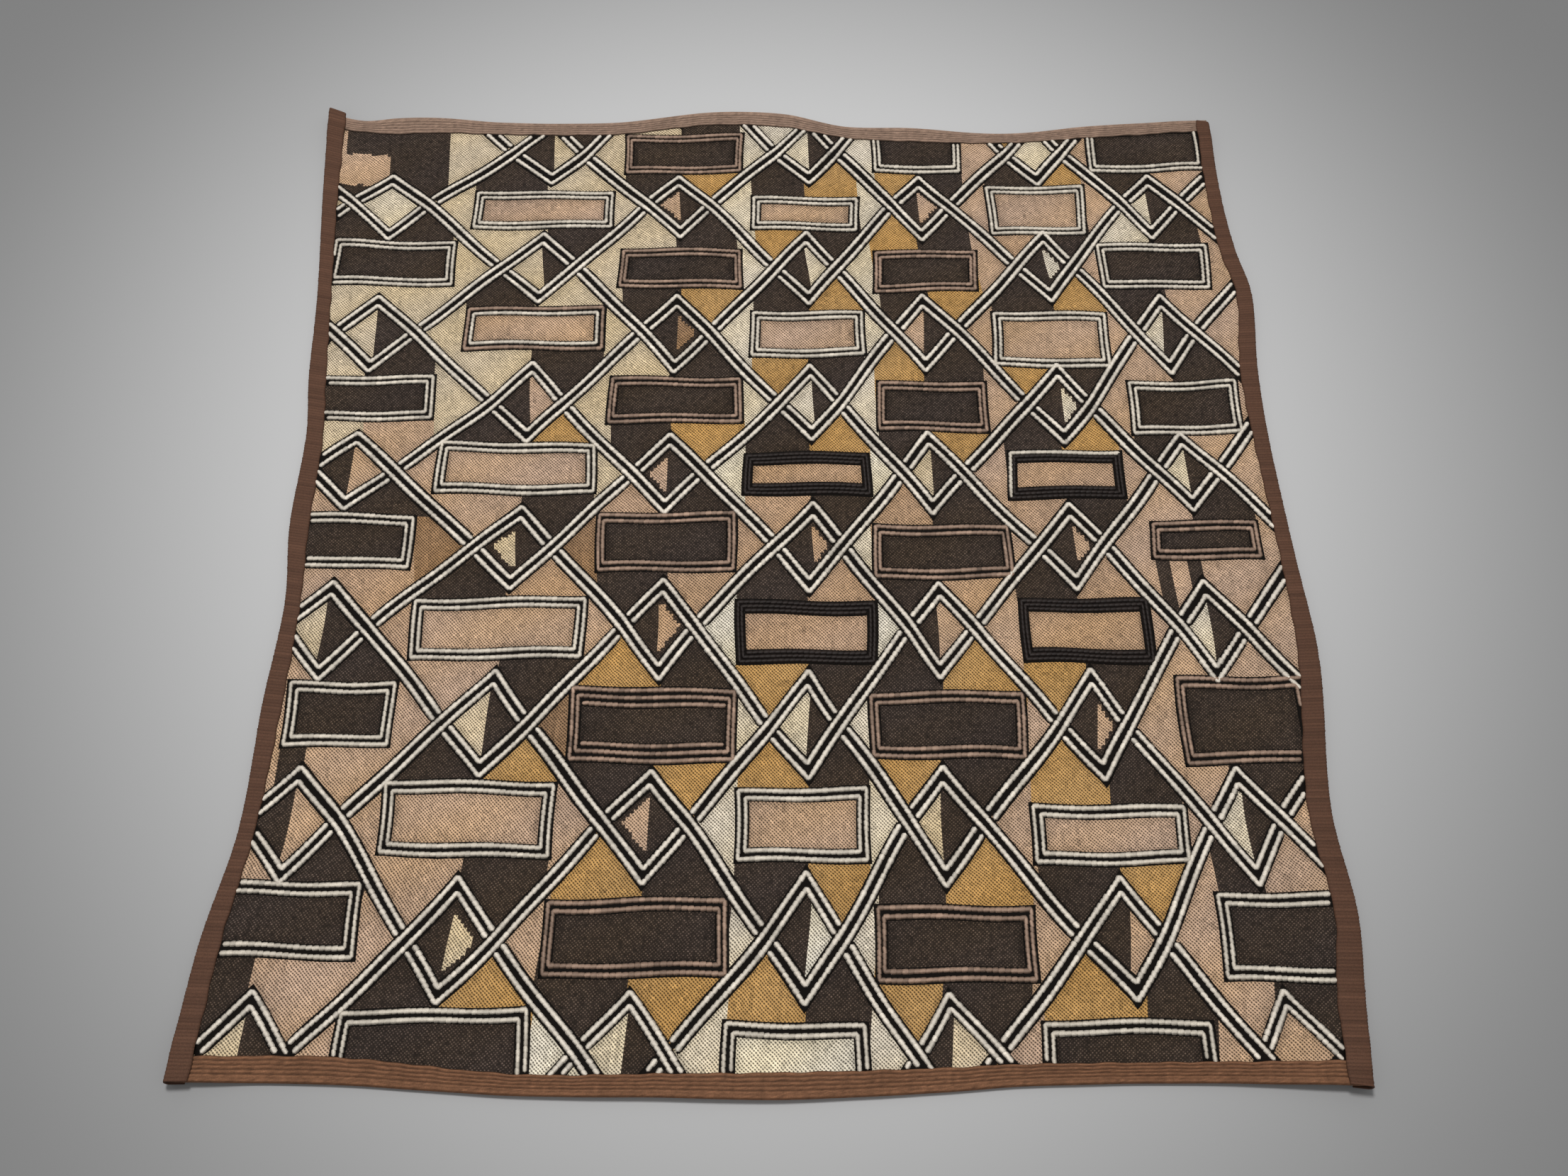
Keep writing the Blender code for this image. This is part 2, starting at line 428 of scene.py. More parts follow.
FRAMES = (
    *frames_down(0, 1.5,
        (-339, 235, 30, 15, Line.WHITE, "DCCDCCB"), (-339, 136, 30, 15, Line.WHITE, "DCCDCCB"),
        (-339, 36, 30, 15, Line.WHITE, "DBBDBBB"), (-339, -64, 30, 15, Line.WHITE, "DBBDBBB"),
        (-345, -177, 30, 15, Line.WHITE, "DBBDBBB"), (-348, -292, 30, 15, Line.WHITE, "DBBDBBB")
    ),
    *frames_down(1, 1,
        (-320, 285, 10, 10, Line.THICK, "DDDDDDD"), (-235, 189, 39, 17, Line.WHITE, "DDCCCCD"),
        (-241, 87, 40, 16, Line.WHITE, "CDCBCCD"), (-240, -10, 38, 17, Line.WHITE, "BDBTBOD"),
        (-230, -116, 29, 19, Line.WHITE, "BDDBBBD"), (-243.5, -229, 36.5, 19, Line.WHITE, "BDDBBBD"),
        (-254, -350, 33, 19, Line.WHITE, "BDDBBBD")
    ),
    *frames_down(2, 0.5,
        (-145, 335, 43, 15, Line.WHITE, "DCCDCCB"), (-145, 232, 43, 15, Line.WHITE, "DCCDCCB"),
        (-144, 138, 42, 16, Line.BROWN_WHITE, "DCCDCCB"), (-148, 39, 46, 17, Line.WHITE, "DGBDBCB"),
        (-150, -65, 46, 19, Line.WHITE, "DTBDTBB"), (-157, -175, 45, 20, Line.WHITE, "DGBDBBB"),
        (-164, -295, 46, 22, Line.WHITE, "DGBDBWD")
    ),
    *frames_down(3, 1,
        (-58, 277.5, 38, 15.8, Line.BROWN, "CDDGCPD"), (-58, 184, 38, 15, Line.BROWN, "CDDGCPD"),
        (-58, 87, 38, 16, Line.BROWN, "CDDGCPD"), (-60, -11, 39, 19, Line.BROWN, "TDDTOTD"),
        (-64, -122, 44, 21, Line.BROWN_THREE, "GDDGOPD"), (-68, -238, 45, 20, Line.BROWN, "GDDGBPD"),
        (-70, -350, 45, 20, Line.BROWN, "WDDGWPD")
    ),
    *frames_down(4, 0.5,
        (19, 335, 33, 15, Line.WHITE, "DGPDPPB"), (19, 228, 33, 13, Line.WHITE, "DGGDPPB"),
        (20, 135, 35, 17, Line.WHITE, "DGGDPPB"), (18.5, 34, 35.5, 14, Line.THICK, "DGTDWWT"),
        (18, -66.5, 37, 18.5, Line.THICK, "DTGDWWT"), (15, -179, 35, 20, Line.WHITE, "GDDGPPB"),
        (11, -302, 34, 22, Line.WHITE, "GDDGPPW")
    ),
    *frames_down(5, 1,
        (89.5, 280, 28.5, 18, Line.WHITE, "GDGDPBD"), (92, 183, 31, 16, Line.BROWN, "GDDGPBD"),
        (93, 81, 32, 17, Line.BROWN, "GDDGPBD"), (94, -16, 39, 17, Line.BROWN, "TDDTPBD"),
        (92, -123, 40, 19, Line.BROWN, "DGGDPBD"), (91, -240, 40, 19, Line.BROWN, "DGGDPBD"),
        (86, -350, 40, 19, Line.BROWN, "DGGDBBD")
    ),
    *frames_down(6, 0.5,
        (167, 335, 31, 15, Line.WHITE, "DGGDBBB"), (164, 231, 31, 20, Line.WHITE, "DGTDBBB"),
        (165, 130, 35, 20, Line.WHITE, "DGGDBBB"), (167, 35, 32, 16, Line.PARTLY_WHITE, "DGTDBBT"),
        (170.5, -67, 35.5, 19, Line.THICK, "DTGDBBT"), (172, -183, 40, 16, Line.WHITE, "GDDGBBB"),
        (171.5, -302, 40.5, 22, Line.WHITE, "GDDGBBD")
    ),
    *frames_down(7, 1,
        (236, 280, 36, 18, Line.WHITE, "BDDBBBD"), (233, 186, 33, 17, Line.WHITE, "PDDBBBD"),
        (240, 81, 33, 19, Line.WHITE, "BDDBBBD"), (241, -10, 30, 12, Line.BROWN, "BDDBBBD"),
        (249, -119, 33, 25, Line.BROWN, "BBBDBBD"), (255, -238, 34, 22, Line.WHITE, "DBBDBBD"),
        (251, -350, 34, 22, Line.WHITE, "BDDBBBD")
    ),
    *frames_down(8, 0.5,
        (310, 330, 20, 15, Line.WHITE, "DBBDBBB"), (310, 235, 20, 15, Line.WHITE, "DBBDBBB"),
        (310, 136, 20, 15, Line.WHITE, "DBBDBBB"), (312, 36, 20, 15, Line.WHITE, "DBBDBBB"),
        (316, -64, 20, 15, Line.WHITE, "DBBDBBB"), (322, -177, 20, 15, Line.WHITE, "DBBDBBB"),
        (330, -292, 20, 15, Line.WHITE, "DBBDBBB")
    ),
)
PATCHES = (
    Patch(1, 1, -300, -243, 250, 275, "B"), Patch(1, 1, -207, -150, 250, 300, "C"),
    Patch(1, 1, -300, -275, 250, 310, "B"), Patch(1, 4, -202, -150, 7, 50, "D"),
    Patch(7, 4, 222, 231, -58, -20, "B"),
)

# The two halves of each knot's diamond, left then right, from the top of the column down.
# A small letter stands for a small triangle with a dark margin.
KNOT_DYES = {
    0: "BB BB BB BB BB BB BB",
    1: "DD PP CD DB CD DB CD",
    2: "DC CD DB cD CD Dc DB",
    3: "DD bD Do bD Dt bD PD",
    4: "PD DP PD Dt PD DW DW",
    5: "DD Db BD CD DB CD DC",
    6: "PP Dp Dp Db Db DB DB",
    7: "BD PD PD PD PD PD BB",
    8: "BB BB BB BB BB BB BB",
}


@dataclass(frozen=True)
class Lattice:
    """The net of crossing bands, in columns across the cloth and rows down it.

    Two families of zigzag bands cross beside every column. A band's turn is its sign:
    +1 for the family that passes above the knots of the even columns, -1 for the other.
    """

    knot_half: float = 0.24
    drift_start: float = 90.0
    drift_run: float = 385.0
    drift_most: float = 1.1
    wander: float = 1.0
    ripple: float = 0.6

    @property
    def slope(self) -> float:
        """Rows that a band falls or climbs in one column."""
        return 0.5 + 2 * self.knot_half

    def row_at(self, y: Array) -> Array:
        """Row of a place down the cloth."""
        return np.interp(-y, -np.array(ROW_LINES, float), np.arange(len(ROW_LINES)) * ROW_STEP)

    def y_at(self, row: Array) -> Array:
        """Place down the cloth of a row."""
        return np.interp(row, np.arange(len(ROW_LINES)) * ROW_STEP, ROW_LINES)

    def drift(self, y: Array) -> Array:
        """Share of a column's drift that it has made at a place down the cloth."""
        return np.clip((self.drift_start - y) / self.drift_run, 0.0, self.drift_most) ** 2

    def x_at(self, column: Array, y: Array) -> Array:
        """Place across the cloth of a column, at a place down it."""
        numbers = np.arange(len(COLUMNS))
        top = np.interp(column, numbers, [each.top for each in COLUMNS])
        low = np.interp(column, numbers, [each.low for each in COLUMNS])
        return top + (low - top) * self.drift(y)

    def column_at(self, x: Array, y: Array) -> Array:
        """Column of a place, counted with its fraction."""
        drift = self.drift(y)
        lines = np.array([each.top + (each.low - each.top) * drift for each in COLUMNS])
        here = np.clip((lines <= x).sum(axis=0) - 1, 0, len(COLUMNS) - 2)
        left = np.take_along_axis(lines, here[None], axis=0)[0]
        right = np.take_along_axis(lines, here[None] + 1, axis=0)[0]
        return here + (x - left) / (right - left)

    def from_even(self, column: Array) -> Array:
        """Distance in columns to the nearest even column."""
        return np.abs((column + 1) % 2 - 1)

    def distance(self, turn: int, x: Array, y: Array) -> Array:
        """Distance in millimetres to the middle of the nearest band of one family."""
        column, row = self.column_at(x, y), self.row_at(y)
        count = row + turn * (self.knot_half - self.slope * self.from_even(column))
        row_height = np.abs(self.y_at(row + ROW_STEP / 2) - self.y_at(row - ROW_STEP / 2)) * 2
        column_width = self.x_at(np.floor(column) + 1, y) - self.x_at(np.floor(column), y)
        lean = self.slope * row_height / column_width
        return np.abs(count - np.round(count)) * row_height / np.sqrt(1 + lean**2)

    def under(self, turn: int, x: Array, y: Array) -> Array:
        """Distance to the band that passes over one family here, or infinity if none does."""
        column = self.column_at(x, y)
        passed_over = turn * (column - np.round(column)) > 0
        return np.where(passed_over, self.distance(-turn, x, y), np.inf)

    def first_row(self, column: int) -> float:
        """Row of the topmost knot of a column."""
        return 0.5 if column % 2 else 1.0

    def sewn(self, x: Array, y: Array) -> tuple[Array, Array]:
        """Move drawn places by the small unevenness of hand sewing."""
        shift_x = np.sin(x / 31 + y / 47) + self.ripple * np.sin(y / 13 - x / 29 + 2)
        shift_y = np.sin(y / 37 - x / 41 + 1) + self.ripple * np.sin(x / 11 + y / 23 + 4)
        return x + self.wander * shift_x, y + self.wander * shift_y

    def drawn(self, x: Array, y: Array) -> tuple[Array, Array]:
        """Find the drawn place of a sewn one."""
        sewn_x, sewn_y = self.sewn(x, y)
        return 2 * x - sewn_x, 2 * y - sewn_y


@dataclass(frozen=True)
class Chart:
    """Which dye each stitch of the panel is filled with, and the painted shade beside the lines."""

    cloth: Cloth
    lattice: Lattice
    ring: float = 3.5
    ragged: float = 0.45
    band_half: float = 4.6
    frame_half: float = 3.6
    black_half: float = 2.6
    # Painted shade beside the lines: its darkness at a line's edge, and how fast it fades.
    painted_shade_depth: float = 0.34
    painted_shade_run: float = 1.7
    small_share: float = 0.56

    def straight_x(self, x: float, y: float) -> float:
        """Column of stitches, on the straight cloth, that a drawn place lies in."""
        sewn_x, sewn_y = self.lattice.sewn(np.array([float(x)]), np.array([float(y)]))
        return float(self.cloth.outline.straighten(sewn_x, sewn_y)[0][0])

    def dyes(self, x: Array, y: Array, counted: Array, chance: Chance) -> Array:
        """Read the chart.

        Args:
            x: Places across the uneven cloth.
            y: Places along it.
            counted: The same places across the straight cloth, where stitches are counted.
            chance: The seeded source of chance.

        Returns:
            One dye letter a place.
        """
        x, y = self.lattice.drawn(x, y)
        column, row = self.lattice.column_at(x, y), self.lattice.row_at(y)
        slip = chance.uniform(-self.ragged, self.ragged, (2, len(x)))
        filled = np.full(x.shape, "D")
        dark_margin = (1 - self.small_share) * self.lattice.knot_half
        for number in range(len(COLUMNS)):
            aside = np.abs(column - number)
            reach = self.lattice.knot_half - self.lattice.slope * aside
            half = 0.5 * (number % 2)
            knot_row = np.round(row - half) + half
            frame_row = np.round(row - half - 0.5) + half + 0.5
            cell = (np.abs(row - frame_row) < 0.5 - np.abs(reach)) & (aside < 1)
            for box in FRAMES:
                held = np.flatnonzero(cell & (frame_row == box.row)) if box.column == number else ()
                if len(held):
                    filled[held] = self.cell_dyes(
                        box, x[held] + slip[0, held], y[held] + slip[1, held], counted[held]
                    )
            knot = (np.abs(row - knot_row) < reach) & (aside < 1)
            for count, pair in enumerate(KNOT_DYES[number].split()):
                own_row = count + self.lattice.first_row(number)
                held = np.flatnonzero(knot & (knot_row == own_row))
                if len(held):
                    own_y = self.lattice.y_at(own_row)
                    split = self.straight_x(self.lattice.x_at(number, own_y), own_y)
                    own = np.where(counted[held] < split, pair[0], pair[1])
                    depth = reach[held] - np.abs(row[held] - knot_row[held])
                    narrow = np.char.islower(own) & (depth < dark_margin)
                    filled[held] = np.where(narrow, "D", np.char.upper(own))
        return filled

    def painted_shade_beside_lines(self, x: Array, y: Array) -> Array:
        """How dark the fills are painted beside the lines: painted shade on both sides of every line.

        Args:
            x: Places across the uneven cloth.
            y: Places along it.

        Returns:
            1 away from the lines, and less beside them.
        """
        x, y = self.lattice.drawn(x, y)
        away = np.minimum(self.lattice.distance(1, x, y), self.lattice.distance(-1, x, y))
        away -= self.band_half
        for box in FRAMES:
            out_x, out_y = np.abs(x - box.x) - box.half_width, np.abs(y - box.y) - box.half_height
            outside = np.hypot(np.maximum(out_x, 0), np.maximum(out_y, 0))
            step = self.black_half if "black" in box.line.value else self.frame_half
            rows = len(box.line.value)
            inside = -np.maximum(out_x + step * min(rows, 2), out_y + step * rows)
            away = np.minimum(away, np.where(outside > 0, outside, np.maximum(inside, 0)))
        return 1 - self.painted_shade_depth * np.exp(-np.maximum(away, 0) / self.painted_shade_run)

    def cell_dyes(self, box: Frame, x: Array, y: Array, counted: Array) -> Array:
        """Read the chart inside one frame's cell.

        Args:
            box: The frame.
            x: Drawn places across the cloth.
            y: Drawn places along it.
            counted: The same places across the straight cloth.

        Returns:
            One dye letter a place.
        """
        middle = self.straight_x(self.lattice.x_at(box.column, box.y), box.y)
        left = self.straight_x(box.x - box.half_width, box.y)
        right = self.straight_x(box.x + box.half_width, box.y)
        across, up = np.abs(x - box.x), np.abs(y - box.y)
        inside = (across < box.half_width - self.ring) & (up < box.half_height - self.ring)
        zone = np.where(y > box.y, 0, 2) + np.where(counted > middle, 1, 0)
        zone = np.where(counted < left, 4, np.where(counted > right, 5, zone))
        dyes = np.array(list(box.dyes))[np.where(inside, 6, zone)]
        for patch in PATCHES:
            if (patch.column, patch.row) == (box.column, box.row):
                middle_y = (patch.low_y + patch.high_y) / 2
                low = self.straight_x(patch.low_x, middle_y)
                high = self.straight_x(patch.high_x, middle_y)
                held = ~inside & (counted > low) & (counted < high)
                dyes[held & (y > patch.low_y) & (y < patch.high_y)] = patch.dye
        return dyes


# Materials


def hex_colour(text: str) -> tuple[float, float, float, float]:
    """Turn an sRGB hex colour into a linear one."""
    parts = [int(text[start : start + 2], 16) / 255 for start in (1, 3, 5)]
    line = [part / 12.92 if part <= 0.04045 else ((part + 0.055) / 1.055) ** 2.4 for part in parts]
    return (line[0], line[1], line[2], 1.0)


def add_node(tree: Tree, kind: str, inputs: dict[str | int, object], **settings: object) -> Node:
    """Add a node with its settings, values and links.

    Args:
        tree: The material's node tree.
        kind: The node's type.
        inputs: A value, or a socket to link from, for each input.
        settings: Properties of the node.

    Returns:
        The node.
    """
    node = tree.nodes.new(kind)
    for name, value in settings.items():
        setattr(node, name, value)
    for key, value in inputs.items():
        if isinstance(value, Socket):
            tree.links.new(value, node.inputs[key])
        else:
            node.inputs[key].default_value = value
    return node


def start_material(name: str, **values: float) -> tuple[bpy.types.Material, Node]:
    """Make a material with a Principled shader.

    Args:
        name: The real material's name.
        values: Values for the shader's sockets, with underscores for spaces.

    Returns:
        The material and its shader node.
    """
    material = bpy.data.materials.new(name)
    material.use_nodes = True
    shader = material.node_tree.nodes["Principled BSDF"]
    for key, value in values.items():
        shader.inputs[key.replace("_", " ")].default_value = value
    return material, shader


def compute(tree: Tree, operation: str, *values: object) -> Socket:
    """One step of arithmetic on numbers or sockets."""
    return add_node(tree, "ShaderNodeMath", dict(enumerate(values)), operation=operation).outputs[0]


def squared_sine(tree: Tree, turns: Socket) -> Socket:
    """A wave from 0 to 1 and back in each turn."""
    sine = compute(tree, "SINE", compute(tree, "MULTIPLY", turns, math.pi))
    return compute(tree, "MULTIPLY", sine, sine)


def move(tree: Tree, operation: str, inputs: dict[str | int, object]) -> Socket:
    """One step of arithmetic on vectors or colours."""
    return add_node(tree, "ShaderNodeVectorMath", inputs, operation=operation).outputs[0]


def noise(tree: Tree, place: Socket, scale: float, detail: float = 1.0) -> Node:
    """Cloudy noise over places."""
    return add_node(tree, "ShaderNodeTexNoise", {"Vector": place, "Scale": scale, "Detail": detail})


def remap(
    tree: Tree, value: Socket, source: Pair,
    target: Pair = (0.0, 1.0), interpolation: str = "LINEAR",
) -> Socket:
    """Move a value from one range to another, and hold it inside.

    Args:
        tree: The material's node tree.
        value: The value's socket.
        source: The range that it comes from.
        target: The range that it goes to.
        interpolation: How it goes between the ends.

    Returns:
        The moved value's socket.
    """
    names = ("From Min", "From Max", "To Min", "To Max")
    inputs = {"Value": value, **dict(zip(names, source + target))}
    node = add_node(tree, "ShaderNodeMapRange", inputs, interpolation_type=interpolation)
    return node.outputs[0]


def blend(tree: Tree, share: Socket, first: str, second: str) -> Socket:
    """A colour between two hex colours."""
    inputs = {"Factor": share, "A": hex_colour(first), "B": hex_colour(second)}
    return add_node(tree, "ShaderNodeMix", inputs, data_type="RGBA").outputs["Result"]


def emboss(tree: Tree, shader: Node, height: Socket, strength: float, depth: float) -> None:
    """Give a shader fine relief.

    Args:
        tree: The material's node tree.
        shader: Its shader.
        height: The relief's height.
        strength: How strongly it shows.
        depth: Its real depth in metres.
    """
    inputs = {"Height": height, "Strength": strength, "Distance": depth}
    bump = add_node(tree, "ShaderNodeBump", inputs)
    tree.links.new(bump.outputs[0], shader.inputs["Normal"])


@dataclass(frozen=True)
class EmbroideredRaffia:
    """Dyed raffia in close counted stitches: matt, with painted shade in the pits and grooves of the
    pale fills.
    """

    # Painted shade of the pale fills in the grooves and pits between stitches, and painted highlight on
    # their crests.
    groove: float = 0.5
    pit_shade: float = 1.05
    crest_highlight: float = 1.56
    fleck: float = 2.4
    dark_ground: float = 0.5
    uneven: float = 0.9
    wear_scale: float = 0.9
    wear_range: Pair = (0.35, 0.65)
    slack: float = 0.7
    slack_scale: float = 0.4
    relief: float = 0.0004
    relief_share: float = 0.7

    def build(self) -> bpy.types.Material:
        """Make the material from the mesh's dye colours and its stitch coordinates."""
        material, shader = start_material("embroidered_raffia", Roughness=0.85, Specular_IOR_Level=0.12)
        tree = material.node_tree
        dye = add_node(tree, "ShaderNodeAttribute", {}, attribute_name="dye")
        stitches = add_node(tree, "ShaderNodeUVMap", {}, uv_map="stitches").outputs[0]
        slack = noise(tree, stitches, self.slack_scale).outputs["Color"]
        shaken = move(tree, "MULTIPLY", {0: slack, 1: (self.slack, self.slack, 0.0)})
        moved = move(tree, "ADD", {0: stitches, 1: shaken})
        parts = add_node(tree, "ShaderNodeSeparateXYZ", {0: moved})
        across, up = parts.outputs["X"], parts.outputs["Y"]
        falling = squared_sine(tree, compute(tree, "ADD", across, up))
        rising = squared_sine(tree, compute(tree, "SUBTRACT", across, up))
        pits = compute(tree, "MULTIPLY", falling, rising)
        # Pale fills: painted shade, darker in the grooves and pits and lighter on the crests.
        groove_shaded = compute(tree, "MULTIPLY_ADD", falling, -self.groove, self.crest_highlight)
        pale = compute(tree, "MULTIPLY_ADD", pits, -self.pit_shade, groove_shaded)
        worn = noise(tree, stitches, self.wear_scale).outputs["Fac"]
        shown = remap(tree, worn, self.wear_range, (1 - self.uneven, 1 + self.uneven))
        flecks = compute(tree, "MULTIPLY", pits, shown)
        dark = compute(tree, "MULTIPLY_ADD", flecks, self.fleck, self.dark_ground)
        mixed = {"Factor": dye.outputs["Alpha"], "A": dark, "B": pale}
        shade = add_node(tree, "ShaderNodeMix", mixed).outputs[0]
        colour = move(tree, "SCALE", {0: dye.outputs["Color"], "Scale": shade})
        tree.links.new(colour, shader.inputs["Base Color"])
        emboss(tree, shader, shade, self.relief_share, self.relief)
        return material


@dataclass(frozen=True)
class WovenRaffia:
    """Plain undyed raffia cloth, the ground of the embroidery, seen on the underside."""

    thread: str = "#a98f6e"
    shadow: str = "#6d5840"
    pitch: float = 0.0016
    relief: float = 0.0003
    relief_share: float = 0.6

    def build(self) -> bpy.types.Material:
        """Make the material: crossing threads at their real spacing."""
        material, shader = start_material("woven_raffia", Roughness=0.88, Specular_IOR_Level=0.2)
        tree = material.node_tree
        place = add_node(tree, "ShaderNodeTexCoord", {})
        scaled = move(tree, "SCALE", {0: place.outputs["Object"], "Scale": 1 / self.pitch})
        parts = add_node(tree, "ShaderNodeSeparateXYZ", {0: scaled})
        warp = squared_sine(tree, parts.outputs["X"])
        weft = squared_sine(tree, parts.outputs["Y"])
        threads = compute(tree, "MAXIMUM", warp, weft)
        colour = blend(tree, threads, self.shadow, self.thread)
        tree.links.new(colour, shader.inputs["Base Color"])
        emboss(tree, shader, threads, self.relief_share, self.relief)
        return material


@dataclass(frozen=True)
class ThreadRaffia:
    """Split palm fibre laid as thread: a soft sheen and fine streaks along it."""

    name: str
    roughness: float = 0.6
    gloss: float = 0.3
    grain: float = 0.0006
    grain_range: Pair = (0.3, 0.7)
    grain_tones: Pair = (0.8, 1.12)
    relief: float = 0.00012
    relief_share: float = 0.5

    def build(self) -> bpy.types.Material:
        """Make the material from the mesh's dye colours and a fine fibre grain."""
        material, shader = start_material(
            self.name, Roughness=self.roughness, Specular_IOR_Level=self.gloss
        )
        tree = material.node_tree
        dye = add_node(tree, "ShaderNodeAttribute", {}, attribute_name="dye")
        place = add_node(tree, "ShaderNodeTexCoord", {})
        fibres = noise(tree, place.outputs["Object"], 1 / self.grain, 2.0).outputs["Fac"]
        shade = remap(tree, fibres, self.grain_range, self.grain_tones)
        colour = move(tree, "SCALE", {0: dye.outputs["Color"], "Scale": shade})
        tree.links.new(colour, shader.inputs["Base Color"])
        emboss(tree, shader, fibres, self.relief_share, self.relief)
        return material


@dataclass(frozen=True)
class FloorWithPaintedLight:
    """A matt grey studio floor, paler in a wide round patch under the cloth: a painted pool of light.

    The patch is level up to one distance from its middle and fades out at another. It is a
    little longer along y, and narrower towards the near side.
    """

    # Painted pool of light: pale in the middle, grey beyond its reach.
    pale: str = "#dadada"
    grey: str = "#858585"
    middle: Pair = (0.0, 0.026)
    flat: float = 0.923
    skew: float = 0.289
    reach: float = 0.583
    level: float = 0.083

    def build(self) -> bpy.types.Material:
        """Make the material: painted light, its tone set by the distance from the middle."""
        material, shader = start_material("floor_painted_light", Roughness=0.9, Specular_IOR_Level=0.1)
        tree = material.node_tree
        place = add_node(tree, "ShaderNodeTexCoord", {})
        middle = {0: place.outputs["Object"], 1: (self.middle[0], self.middle[1], 0.0)}
        parts = add_node(tree, "ShaderNodeSeparateXYZ", {0: move(tree, "SUBTRACT", middle)})
        narrow = compute(tree, "MULTIPLY_ADD", parts.outputs["Y"], -self.skew, 1.0)
        across = compute(tree, "MULTIPLY", parts.outputs["X"], narrow)
        along = compute(tree, "MULTIPLY", parts.outputs["Y"], self.flat)
        patch = add_node(tree, "ShaderNodeCombineXYZ", {"X": across, "Y": along})
        length = add_node(tree, "ShaderNodeVectorMath", {0: patch.outputs[0]}, operation="LENGTH")
        share = remap(
            tree, length.outputs["Value"], (self.level, self.reach), interpolation="SMOOTHSTEP"
        )
        # Painted pool of light: pale in the middle, fading to grey.
        colour = blend(tree, share, self.pale, self.grey)
        tree.links.new(colour, shader.inputs["Base Color"])
        return material


# Meshes


def add_object(name: str, data: bpy.types.ID) -> bpy.types.Object:
    """Add an object to the scene."""
    thing = bpy.data.objects.new(name, data)
    bpy.context.scene.collection.objects.link(thing)
    return thing


@dataclass
class Sewing:
    """Points and faces of a piece as it grows."""

    points: list[Array] = field(default_factory=list)
    dyes: list[Array] = field(default_factory=list)
    faces: list[Array] = field(default_factory=list)
    count: int = 0

    def add(self, points: Array, dyes: Array, faces: list[Array]) -> None:
        """Add points with their colours, and faces that count from the first of them.

        Args:
            points: One point a row, in metres.
            dyes: One linear colour a point.
            faces: Arrays of faces, each array with one number of corners.
        """
        self.points.append(points)
        self.dyes.append(dyes)
        self.faces.extend(each + self.count for each in faces if len(each))
        self.count += len(points)

    def build(self, name: str, material: bpy.types.Material) -> bpy.types.Object:
        """Make the object.

        Args:
            name: The piece's name.
            material: Its finish.

        Returns:
            The object, with a dye colour on every point.
        """
        mesh = bpy.data.meshes.new(name)
        points = np.concatenate(self.points)
        corners = np.concatenate([each.ravel() for each in self.faces])
        sizes = np.concatenate([np.full(len(each), each.shape[1]) for each in self.faces])
        mesh.vertices.add(len(points))
        mesh.vertices.foreach_set("co", points.ravel())
        mesh.loops.add(len(corners))
        mesh.loops.foreach_set("vertex_index", corners)
        mesh.polygons.add(len(sizes))
        mesh.polygons.foreach_set("loop_start", np.concatenate([[0], np.cumsum(sizes)[:-1]]))
        mesh.update(calc_edges=True)
        mesh.validate()
        mesh.shade_smooth()
        dye = mesh.color_attributes.new("dye", "FLOAT_COLOR", "POINT")
        dye.data.foreach_set("color", np.concatenate(self.dyes).ravel())
        mesh.materials.append(material)
        return add_object(name, mesh)


def tube_faces(lines: int, ring: int) -> list[Array]:
    """Faces of a closed tube: its walls and its two flat ends.

    Args:
        lines: Number of rings along the tube.
        ring: Number of points in a ring, counted to the right as seen from the start.

    Returns:
        The walls' quads, and the two ends.
    """
    line, place = np.meshgrid(np.arange(lines - 1), np.arange(ring), indexing="ij")
    after = (place + 1) % ring
    walls = np.stack(
        [line * ring + place, line * ring + after, (line + 1) * ring + after, (line + 1) * ring + place],
        axis=-1,
    ).reshape(-1, 4)
    start = np.arange(ring)[::-1][None]
    end = (np.arange(ring) + (lines - 1) * ring)[None]
    return [walls, start, end]


# Pieces


